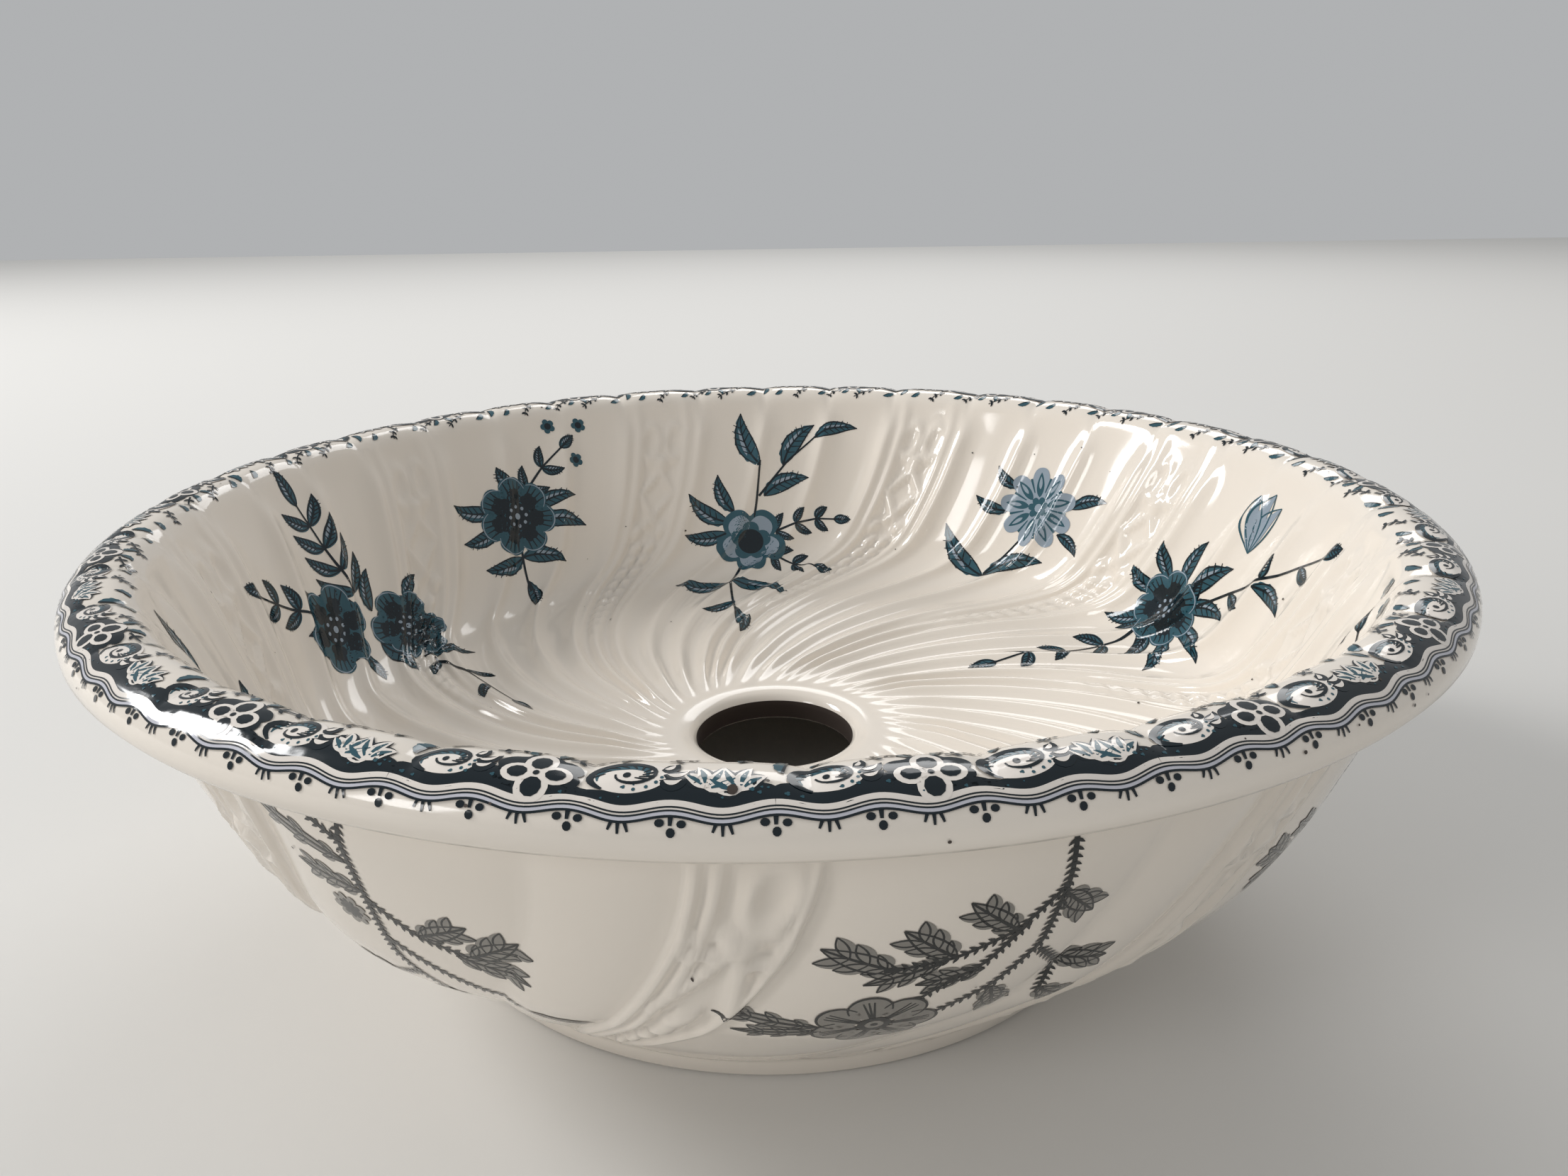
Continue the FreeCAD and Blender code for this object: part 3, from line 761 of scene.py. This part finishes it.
border["navy"].append((dark_wave(-1.0, 34.0, height=2.3, lean=1), 4))
border["navy"].append((dark_wave(27.0, UNIT - 26.0, height=2.0, lean=-1), 4))
border["navy"].append((disc((22.0, -2.4), 7.0, petals=6, depth=0.16, squash=0.6), 4))
four_petals(border, (22.0, -3.0), size=5.0)
scroll_leaf(border, (7.4, -1.9), size=5.4, turned=215, flip=-1)
scroll_leaf(border, (35.4, -2.1), size=5.9, turned=205, flip=-1)
fanned_leaf(border, (46.4, -4.4), size=6.2, spread=-1)
fanned_leaf(border, (51.6, -4.8), size=6.6, spread=1)
barbed_sprig(border, [(13.5, 2.0), (15.8, 2.8), (18.4, 4.0), (21.0, 5.6)], barb=1.3)
barbed_sprig(border, [(25.5, 1.6), (28.4, 2.4), (30.6, 3.6), (31.6, 5.2)], barb=1.2)
barbed_sprig(border, [(40.6, 2.0), (42.6, 2.8), (44.4, 4.2), (45.2, 6.0)], barb=1.2)
for foot, tip in (((1.0, -0.8), (2.0, 4.0)), ((5.4, 2.2), (9.0, 4.8)), ((20.5, 1.8), (19.0, 4.4)),
                  ((33.4, 2.0), (36.0, 4.6)), ((51.0, 2.2), (53.6, 4.8)), ((24.0, 1.4), (26.2, 4.0))):
    border["slate"].append((leaf(foot, tip, 2.0, bend=0.18, teeth=5), 4))
    border["navy"].append((stroke([foot, tip], [0.5, 0.2], 0.8), 6))
FLECK_COUNT = 16
flecks = random.Random(5)
for number in range(FLECK_COUNT):
    spot = (flecks.uniform(0, UNIT), flecks.uniform(-6.2, -3.8))
    fleck = disc(spot, flecks.uniform(0.15, 0.45), petals=3, depth=0.4, squash=0.8)
    border["slate"].append((fleck, 6))
BORDER_START = math.radians(-90.0)
for tone, sheets in border.items():
    flat_sheets = [laid(sheet, BORDER_START, 1 + RIM_LAYER * layer, girth=CREST_RADIUS)
                   for sheet, layer in sheets]
    lay_print("rim_print_" + tone, tone, flat_sheets, BORDER_COUNT)

# Flower sprays
# Single sprays from the same kind of transfer, blue inside the bowl and grey black outside: blooms, toothed
# leaves and twigs that overlap the ridges of the wall. Each spray is drawn flat, in mm from its middle.
RIB_POINTS = 9
FINE_LINE = [0.3, 0.6, 0.3]


def veined_leaf(tones, start, end, width, bend=0.12, teeth=6):
    """Toothed leaf with a shaded half, a midrib and a few side veins."""
    dark, middle, pale = list(tones)[:3]
    start, end = np.array(start, float), np.array(end, float)
    tones[middle].append((leaf(start, end, width, bend, teeth), 1))
    rib = leaf_line(start, end, bend, RIB_POINTS)
    along, aside = heading(start, end)
    tones[pale].append((leaf(rib[2] + aside * width * 0.2, rib[6] + aside * width * 0.14, width * 0.2), 2))
    tones[dark].append((stroke(rib, [0.8, 0.6, 0.3]), 4))
    for place in (2, 3, 4, 5, 6):
        reach = width * 0.42 * math.sin(math.pi * place / 8)
        for side in (-1, 1):
            tip = rib[place] + along * reach * 0.9 + aside * side * reach
            tones[dark].append((stroke([rib[place], tip], [0.5, 0.22]), 4))
    bulge = [width * 0.44 * math.sin(math.pi * (step / 8) ** 0.8) for step in range(RIB_POINTS)]
    for side in (-1, 1):
        edge = [rib[step] + aside * side * bulge[step] for step in range(RIB_POINTS)]
        tones[dark].append((stroke(edge, FINE_LINE), 3))


def veined_leaves(tones, leaves):
    """Several toothed leaves, each with its foot, its tip and its width."""
    for foot, tip, width in leaves:
        veined_leaf(tones, foot, tip, width)


def bloom(tones, middle, radius, petals=6, turned=0.0, squash=1.0):
    """Open flower: round shaded petals that overlap, thin pale edges and pale dots at the heart."""
    centre = np.array(middle, float)
    tones["navy"].append((disc(middle, radius * 0.8, squash=squash), 4))
    for petal in range(petals):
        angle = turned + 2 * math.pi * (petal + 0.5) / petals
        out = np.array([math.cos(angle), math.sin(angle) * squash])
        bearing = math.degrees(angle)
        petal_middle = centre + out * radius * 0.62
        shade_middle = petal_middle - out * radius * 0.12
        tones["slate"].append((disc(petal_middle, radius * 0.4, petals=5, depth=0.12, turned=angle), 5))
        tones["navy"].append((disc(shade_middle, radius * 0.23, petals=5, depth=0.2, turned=angle), 6))
        pale_edge = arc(petal_middle, radius * 0.36, bearing - 80, bearing + 60, [0.2, 0.45, 0.2])
        tones["mist"].append((pale_edge, 7))
        for side in (-0.24, -0.08, 0.08, 0.24):
            edge = np.array([math.cos(angle + side), math.sin(angle + side) * squash])
            vein = [centre + edge * radius * 0.4, centre + edge * radius * 0.92]
            tones["navy"].append((stroke(vein, FINE_LINE), 7))
    tones["navy"].append((disc(middle, radius * 0.36, squash=squash), 8))
    for angle in range(0, 360, 45):
        spot = (middle[0] + 0.25 * radius * math.cos(math.radians(angle)),
                middle[1] + 0.25 * radius * squash * math.sin(math.radians(angle)))
        tones["mist"].append((disc(spot, radius * 0.045), 9))
    tones["mist"].append((disc(middle, radius * 0.08), 9))


def leafy_twig(tones, path, length, width, both=True):
    """Twig with small leaves at every joint and one at its tip."""
    path = [np.array(place, float) for place in path]
    tones[list(tones)[0]].append((stroke(path, [0.95, 0.6]), 4))
    for number, (near, far) in enumerate(zip(path[:-1], path[1:])):
        along, aside = heading(near, far)
        for side in ((-1, 1) if both else (1 - 2 * (number % 2),)):
            tip = near + (along * 0.8 + aside * side * 0.8) * length * (1 - 0.08 * number)
            veined_leaf(tones, near, tip, width, bend=0.1 * side, teeth=0)
    along, aside = heading(path[-2], path[-1])
    veined_leaf(tones, path[-1], path[-1] + along * length, width * 1.1, bend=0.0, teeth=0)


def blue_tones():
    """Empty sheets of the three blues of an inside spray, from the darkest."""
    return {"navy": [], "slate": [], "mist": []}


def spray_of_two_blooms():
    """Two dark blooms side by side with a feathered leaf above and a trailing twig below."""
    tones = blue_tones()
    leafy_twig(tones, [(1, 10), (0, 18), (-1, 26), (-2, 34), (-3, 41)], length=13, width=4.6)
    leafy_twig(tones, [(-18, 8), (-26, 14), (-33, 19), (-40, 24)], length=9, width=4.2)
    trail = [(13, -14), (10, -26), (5, -38), (0, -49), (-6, -60)]
    leafy_twig(tones, trail, length=9.5, width=3.8, both=False)
    bloom(tones, (-13, 3), 14.5, petals=6, turned=0.5)
    bloom(tones, (15, -8), 14.0, petals=6, turned=0.2)
    veined_leaves(tones, [
        ((2, -8), (-1, -25), 7.0), ((6, 2), (12, 15), 6.0), ((20, 0), (30, 7), 5.5),
        ((10, -20), (22, -30), 6.0), ((-8, -8), (-10, -19), 5.0)])
    return tones


def spray_of_one_bloom():
    """One dark bloom between leaves, with a budding twig to the upper right."""
    tones = blue_tones()
    tones["navy"].append((stroke([(-4, -28), (-2, -14), (0, 0)], [0.8, 1.0]), 4))
    veined_leaves(tones, [
        ((-8, 4), (-25, 9), 6.5), ((-8, -2), (-24, -5), 6.0), ((8, -4), (26, -8), 7.0),
        ((8, 1), (25, 4), 6.0), ((-2, -15), (-18, -16), 7.0), ((-2, -15), (14, -20), 7.0),
        ((-3, -24), (-7, -36), 5.0), ((2, 9), (-3, 19), 5.5)])
    leafy_twig(tones, [(7, 9), (15, 16), (24, 22)], length=8, width=4.0)
    bloom(tones, (0, 0), 15.0, petals=7, turned=0.2, squash=0.95)
    for bud in ((34, 30), (29, 17), (22, 31)):
        tones["slate"].append((disc(bud, 2.8, petals=5, depth=0.3), 5))
        tones["navy"].append((disc(bud, 1.3), 6))
    return tones


def tall_spray():
    """Tall spray: an open flower with a dark heart half way up, between single leaves on a long stem."""
    tones = blue_tones()
    tones["navy"].append((stroke([(5, 20), (3, 4), (0, -12), (-9, -34), (-8, -62)], [0.7, 1.1, 0.7]), 4))
    tones["navy"].append((stroke([(4, 6), (16, 20), (28, 30)], [0.9, 0.6]), 4))
    veined_leaves(tones, [
        ((5, 18), (-2, 39), 8.0), ((14, 18), (27, 34), 7.5), ((6, 6), (24, 13), 7.5),
        ((27, 29), (44, 33), 5.5), ((-9, -34), (-30, -31), 8.5), ((-9, -34), (12, -44), 8.5),
        ((-8, -48), (-20, -56), 5.5), ((-8, -58), (-7, -76), 5.5), ((-8, -4), (-24, 8), 7.0),
        ((-9, -8), (-26, -8), 6.5), ((-6, 0), (-12, 15), 6.0)])
    flower = (0, -12)
    tones["slate"].append((disc(flower, 14.0, petals=5, depth=0.3, turned=0.3), 5))
    tones["mist"].append((disc(flower, 11.4, petals=5, depth=0.34, turned=0.3), 6))
    tones["slate"].append((disc(flower, 8.0, petals=5, depth=0.3, turned=0.9), 7))
    tones["navy"].append((disc(flower, 5.0), 8))
    leafy_twig(tones, [(10, -8), (18, -5), (26, -3), (33, -3)], length=7, width=3.6)
    leafy_twig(tones, [(9, -18), (16, -22), (24, -24)], length=7, width=3.6)
    return tones


def pale_spray():
    """One pale mottled flower above a dark forked leaf."""
    tones = blue_tones()
    tones["navy"].append((stroke([(0, -4), (-14, -26)], [0.6, 0.8]), 4))
    flower, petals = np.array((0, 2)), 9
    tones["mist"].append((disc(flower, 15.0, petals, depth=0.34), 5))
    for petal in range(petals):
        angle = math.radians(360 / petals * petal + 20)
        out = np.array([math.cos(angle), math.sin(angle)])
        near, tip = flower + out * 4, flower + out * 13.2
        tones["slate"].append((leaf(near, tip, 3.0), 6))
        tones["mist"].append((leaf(near + out * 3, tip - out * 1.5, 1.3), 7))
        aside = np.array([math.cos(angle + 0.34), math.sin(angle + 0.34)])
        tones["slate"].append((stroke([flower + aside * 6, flower + aside * 11.5], [0.4, 0.9]), 7))
    tones["slate"].append((disc(flower, 4.2, petals=7, depth=0.3), 8))
    tones["mist"].append((disc(flower, 1.6), 9))
    veined_leaves(tones, [
        ((-14, -27), (-35, -9), 7.5), ((-14, -27), (7, -17), 7.5), ((-12, -1), (-26, 3), 5.0),
        ((13, 4), (27, 9), 5.0), ((10, -6), (20, -12), 4.5), ((-10, 8), (-20, 15), 4.5)])
    return tones


def wide_spray():
    """Dark bloom with a bud, long leaves to one side and two twigs running out."""
    tones = blue_tones()
    veined_leaves(tones, [
        ((7, 2), (27, 6), 6.0), ((7, -4), (26, -9), 6.5), ((2, 8), (5, 25), 6.0),
        ((8, 6), (21, 21), 6.5), ((-8, 4), (-21, 9), 6.0), ((-8, -4), (-22, -10), 6.0),
        ((5, -8), (13, -22), 6.0), ((-3, -9), (2, -24), 6.0), ((36, 20), (52, 17), 5.5),
        ((-4, 9), (-12, 20), 5.5)])
    leafy_twig(tones, [(10, 4), (24, 14), (38, 23), (52, 32), (64, 39)], length=9, width=4.4, both=False)
    leafy_twig(tones, [(-4, -9), (-9, -22), (-12, -34), (-14, -46), (-15, -57)], length=9.5, width=4.2)
    bloom(tones, (0, 0), 14.0, petals=7, turned=0.3, squash=0.9)
    bud_foot = (24, 27)
    for tip, width in (((20, 44), 4.0), ((25, 46), 4.4), ((30, 43), 4.0)):
        tones["mist"].append((leaf(bud_foot, tip, width, 0.08), 5))
        for bend in (0.3, -0.1):
            tones["slate"].append((stroke(leaf_line(bud_foot, tip, bend, 7), [0.3, 0.7, 0.3]), 6))
    return tones


THORN_SPACING = 1.7
THORN_LENGTH = 1.5


def thorn_twig(tones, path):
    """Rough twig with a thorn on each side at every few millimetres."""
    path = np.array(path, float)
    knots = travelled(path)
    line = points_at(np.arange(1, knots[-1], THORN_SPACING), knots, path)
    tones["grey"].append((stroke(path, [1.0, 0.7]), 4))
    for near, far in zip(line[:-1], line[1:]):
        along, aside = heading(near, far)
        for side in (-1, 1):
            tip = near + along * THORN_LENGTH * 0.8 + aside * side * THORN_LENGTH
            tones["grey"].append((leaf(near, tip, 0.7), 5))


def holly_leaf(tones, start, end, width):
    """Stiff leaf with long forward points on both sides of a narrow body."""
    start, end = np.array(start, float), np.array(end, float)
    along, aside = heading(start, end)
    body = leaf(start, end, width * 0.6)
    tones["ash"].append((body, 2))
    tones["grey"].append((stroke([start, end], [0.8, 0.4]), 5))
    for side in (0, -1):
        tones["grey"].append((stroke(body[:, side], [0.3, 0.5, 0.3], 0.7), 4))
    for place in (0.12, 0.36, 0.62):
        reach = width * (0.3 + 0.26 * math.sin(math.pi * place))
        foot = start + (end - start) * place
        for side in (-1, 1):
            tip = foot + along * reach * 1.15 + aside * side * reach
            tones["ash"].append((leaf(foot, tip, width * 0.4, 0.1 * side), 3))
            for bend in (-0.16, 0.2):
                tones["grey"].append((stroke(leaf_line(foot, tip, bend, 5), [0.3, 0.4, 0.3], 0.9), 4))


def holly_leaves(tones, leaves):
    """Several stiff leaves, each with its foot, its tip and its width."""
    for foot, tip, width in leaves:
        holly_leaf(tones, foot, tip, width)


def thorny_spray():
    """Grey black spray of the outside wall: thorny twigs, stiff leaves and a round-petalled flower."""
    tones = {"grey": [], "ash": []}
    for path in ([(12, 36), (13, 24), (6, 14), (-4, 9), (-16, 7)], [(13, 24), (12, 8), (5, -3), (-5, -10)],
                 [(8, 16), (2, 6), (-6, 0), (-10, -5)], [(12, 6), (18, -2), (17, -14)]):
        thorn_twig(tones, path)
    holly_leaves(tones, [
        ((13, 22), (21, 13), 7.0), ((-14, 7), (-27, 13), 7.5), ((-4, 9), (-14, 18), 7.0),
        ((-6, 8), (-19, 3), 6.0), ((6, 14), (-4, 24), 6.5), ((2, 4), (-10, 2), 6.0),
        ((17, -12), (25, -20), 7.0), ((18, -2), (29, -4), 7.0), ((5, -4), (9, -17), 6.5),
        ((-25, -12), (-44, -8), 5.5), ((-24, -14), (-40, -16), 5.0)])
    flower = (-15, -11.5)
    for petal in range(7):
        bearing = 51.4 * petal
        angle = math.radians(bearing)
        middle = (flower[0] + 7.4 * math.cos(angle), flower[1] + 6.6 * math.sin(angle))
        tones["ash"].append((disc(middle, 4.1, petals=5, depth=0.12), 5))
        tones["grey"].append((arc(middle, 4.0, bearing - 110, bearing + 110, FINE_LINE), 6))
        for side in (-22, 0, 22):
            angle = math.radians(bearing + side)
            tip = (middle[0] + 2.6 * math.cos(angle), middle[1] + 2.4 * math.sin(angle))
            tones["grey"].append((stroke([flower, tip], [0.6, 0.3]), 6))
    for tone, radius, layer in (("grey", 3.0, 7), ("ash", 1.7, 8), ("grey", 0.7, 9)):
        tones[tone].append((disc(flower, radius), layer))
    return tones


def leaning_spray():
    """Second grey black spray: a forked thorny twig with long leaves and a burr."""
    tones = {"grey": [], "ash": []}
    for path in ([(6, 34), (2, 20), (0, 4), (-2, -14), (2, -28)], [(0, 4), (8, -4), (17, -8)],
                 [(2, 20), (-8, 26)], [(-1, -8), (10, -20), (18, -30)], [(0, -20), (-10, -26)]):
        thorn_twig(tones, path)
    holly_leaves(tones, [
        ((-6, 25), (-20, 34), 6.0), ((1, 14), (-24, 22), 6.0), ((17, -8), (28, -2), 7.5),
        ((8, -4), (20, 2), 6.5), ((14, -8), (26, -15), 7.0), ((2, -28), (-6, -40), 7.0),
        ((18, -30), (28, -38), 7.0), ((-10, -26), (-24, -28), 7.0), ((0, 6), (-16, 8), 6.5),
        ((4, 30), (14, 36), 5.5)])
    burr = (-7, -2)
    tones["ash"].append((disc(burr, 4.4, petals=9, depth=0.3), 5))
    tones["grey"].append((disc(burr, 2.8, petals=9, depth=0.4), 6))
    return tones


def placed(tones, middle_degrees, middle_reach, tilt, side, upward):
    """Sheets of a spray, tilted and laid round a place on the wall."""
    cosine, sine = math.cos(math.radians(tilt)), math.sin(math.radians(tilt))
    result = {}
    for tone, sheets in tones.items():
        result[tone] = []
        for sheet, layer in sheets:
            x, y = sheet[:, :, 0], sheet[:, :, 1]
            tilted = np.stack([(x * cosine - y * sine) * side, x * sine + y * cosine], axis=2)
            result[tone].append(laid(
                tilted, math.radians(middle_degrees), 1 + SPRAY_LAYER * layer, middle_reach, upward))
    return result


def inside_place(tones, middle_degrees, drop, tilt=0.0, mirrored=False):
    """Spray on the inside wall, seen with the drain hole below it, at a distance below the crest."""
    return placed(tones, middle_degrees, drop, tilt, 1 if mirrored else -1, -1)


def outside_place(tones, middle_degrees, drop, mirrored=False):
    """Spray on the outside wall, at a distance along the section below the crest."""
    return placed(tones, middle_degrees, -drop, 0.0, -1 if mirrored else 1, 1)


# The five sprays that face the view and, past them, four more round the hidden half.
inside_sprays = [
    inside_place(spray_of_two_blooms(), 164.0, 58.0),
    inside_place(spray_of_one_bloom(), 131.5, 42.0),
    inside_place(tall_spray(), 93.5, 51.0),
    inside_place(pale_spray(), 46.0, 43.0),
    inside_place(wide_spray(), 18.0, 60.0),
    inside_place(spray_of_one_bloom(), -38.0, 45.0, tilt=8.0, mirrored=True),
    inside_place(spray_of_two_blooms(), -74.0, 58.0, mirrored=True),
    inside_place(pale_spray(), -113.0, 43.0, mirrored=True),
    inside_place(tall_spray(), -154.0, 51.0, mirrored=True),
]
for tone in blue_tones():
    lay_print("inside_spray_print_" + tone, tone, sum([spray[tone] for spray in inside_sprays], []), 1)
outside_sprays = [
    outside_place(leaning_spray(), -118.5, 58.0),
    outside_place(thorny_spray(), -77.0, 68.0),
    outside_place(leaning_spray(), -37.0, 62.0, mirrored=True),
    outside_place(thorny_spray(), 3.0, 64.0),
    outside_place(leaning_spray(), 43.0, 60.0),
    outside_place(thorny_spray(), 82.0, 64.0, mirrored=True),
    outside_place(leaning_spray(), 122.0, 60.0, mirrored=True),
    outside_place(thorny_spray(), 163.0, 64.0),
    outside_place(leaning_spray(), -158.0, 60.0, mirrored=True),
]
for tone in ("grey", "ash"):
    lay_print("outside_spray_print_" + tone, tone, sum([spray[tone] for spray in outside_sprays], []), 1)

# Firing specks
# Small dark pits, under a millimetre across, that iron grains in the clay left in the glaze. They are strewn
# over the rim and the walls, and one larger pit is on the near crest.
SPECK_COUNT = 150
SPECK_LAYERS = 4
RIM_REACH, INSIDE_REACH, OUTSIDE_REACH = (-14, 4), (8, 120), (-100, -30)
strewn = random.Random(11)
specks = []
for number in range(SPECK_COUNT):
    spot = disc((0.0, 0.0), strewn.uniform(0.14, 0.42), squash=strewn.uniform(0.7, 1.0))
    reach = strewn.choice([strewn.uniform(*span) for span in (RIM_REACH, OUTSIDE_REACH, INSIDE_REACH)])
    specks.append(laid(spot, strewn.uniform(0, 2 * math.pi), SPECK_LAYERS, reach))
LARGE_PIT = disc((0.0, -4.6), 0.8)
LARGE_PIT_PLACE = math.radians(-92.1)
specks.append(laid(LARGE_PIT, LARGE_PIT_PLACE, layers=6))
INKS["pit"] = fired("dark firing pit in the glaze", "#3B3028", 0.4)
lay_print("firing_specks", "pit", specks, 1)

# Drain throat
# The drain hole's wall is painted dark brown, much darker and rougher than the glaze: a thin skin on
# the hole's wall, up to the turn of the glazed lip.
THROAT_SKIN = 0.06
THROAT_COLUMNS = 96
THROAT_ANGLES = [0, 12, 24]
# Dark brown colour and roughness of the skin on the hole's wall.
throat_material = fired("dark brown skin in the drain hole", "#2C2018", 0.8)
throat_rows = [(HOLE_RADIUS, RECESS_HEIGHT + 0.1)]
for turn in np.radians(THROAT_ANGLES):
    throat_rows.append((HOLE_RADIUS + LIP_ROUND * (1 - math.cos(turn)),
                        FLOOR_HEIGHT - LIP_ROUND * (1 - math.sin(turn))))
throat_turns = np.linspace(0, 2 * math.pi, THROAT_COLUMNS, endpoint=False)
throat_points = np.concatenate([
    np.stack([(radius - THROAT_SKIN) * np.cos(throat_turns), (radius - THROAT_SKIN) * np.sin(throat_turns),
              np.full(THROAT_COLUMNS, height + THROAT_SKIN)], axis=1)
    for radius, height in throat_rows]) / MM_PER_METRE
ring = np.arange(len(throat_points)).reshape(-1, THROAT_COLUMNS)
next_column = np.roll(ring, -1, axis=1)
throat_faces = np.stack([ring[:-1], ring[1:], next_column[1:], next_column[:-1]], axis=2)
throat = mesh_object("stained_throat", throat_points, throat_faces.reshape(-1, 4), throat_material)
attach(throat, "root")

# Floor
# Plain pale ground that the bowl stands on. It is not part of the object.
FLOOR_HALF = 3.0
floor_material = bpy.data.materials.new("matt pale ground")
floor_material.use_nodes = True
floor_shader = floor_material.node_tree.nodes["Principled BSDF"]
floor_shader.inputs["Base Color"].default_value = linear("#DCDAD6")
floor_shader.inputs["Roughness"].default_value = 0.7
floor_corners = [(FLOOR_HALF * x, FLOOR_HALF * y, 0) for x, y in ((-1, -1), (1, -1), (1, 1), (-1, 1))]
floor = mesh_object("floor", floor_corners, [(0, 1, 2, 3)], floor_material)

# Light
# A large soft window on the left, a wide one behind that glances over the cords of the floor, a low one
# at the near side and an even pale sky. Places and sizes are in metres.
world = bpy.data.worlds.new("even sky")
world.use_nodes = True
sky = world.node_tree.nodes["Background"]
sky.inputs["Color"].default_value = linear("#F4F6F8")
sky.inputs["Strength"].default_value = 0.48
bpy.context.scene.world = world
BOWL_MIDDLE = Vector((0, 0, 0.08))


def soft_window(name, place, size, power):
    """Rectangular lamp that faces the bowl."""
    lamp = bpy.data.lights.new(name, "AREA")
    lamp.shape = "RECTANGLE"
    lamp.size, lamp.size_y = size
    lamp.energy = power
    made = bpy.data.objects.new(name, lamp)
    bpy.context.scene.collection.objects.link(made)
    made.location = place
    made.rotation_euler = (BOWL_MIDDLE - Vector(place)).to_track_quat("-Z", "Y").to_euler()


soft_window("left window", (-2.6, 0.7, 1.76), size=(0.8, 1.3), power=56)
soft_window("back window", (0.5, 2.3, 2.0), size=(1.7, 1.1), power=22)
soft_window("side window", (-2.3, -1.7, 1.3), size=(0.7, 0.9), power=17)

# Camera
# The photograph's view: close to the near rim and a little above it.
CAMERA_PLACE = Vector((0.0, -0.3113, 0.1929))
CAMERA_YAW = math.radians(0.618)
CAMERA_PITCH = math.radians(19.40)
CAMERA_ROLL = math.radians(-0.806)
FOCAL_PIXELS = 1661.0
PHOTO_WIDTH = 2212.0
SENSOR_WIDTH = 36.0
NEAREST_SEEN = 0.01
camera_data = bpy.data.cameras.new("camera")
camera_data.sensor_width = SENSOR_WIDTH
camera_data.sensor_fit = "HORIZONTAL"
camera_data.lens = FOCAL_PIXELS / PHOTO_WIDTH * SENSOR_WIDTH
camera_data.clip_start = NEAREST_SEEN
camera = bpy.data.objects.new("camera", camera_data)
bpy.context.scene.collection.objects.link(camera)
forward = Vector((
    math.sin(CAMERA_YAW) * math.cos(CAMERA_PITCH),
    math.cos(CAMERA_YAW) * math.cos(CAMERA_PITCH),
    -math.sin(CAMERA_PITCH),
))
level_right = Vector((math.cos(CAMERA_YAW), -math.sin(CAMERA_YAW), 0))
level_up = level_right.cross(forward)
right = math.cos(CAMERA_ROLL) * level_right + math.sin(CAMERA_ROLL) * level_up
up = -math.sin(CAMERA_ROLL) * level_right + math.cos(CAMERA_ROLL) * level_up
facing = Matrix((right, up, -forward)).transposed().to_4x4()
camera.matrix_world = Matrix.Translation(CAMERA_PLACE) @ facing
bpy.context.scene.camera = camera
bpy.context.scene.view_settings.view_transform = "Standard"
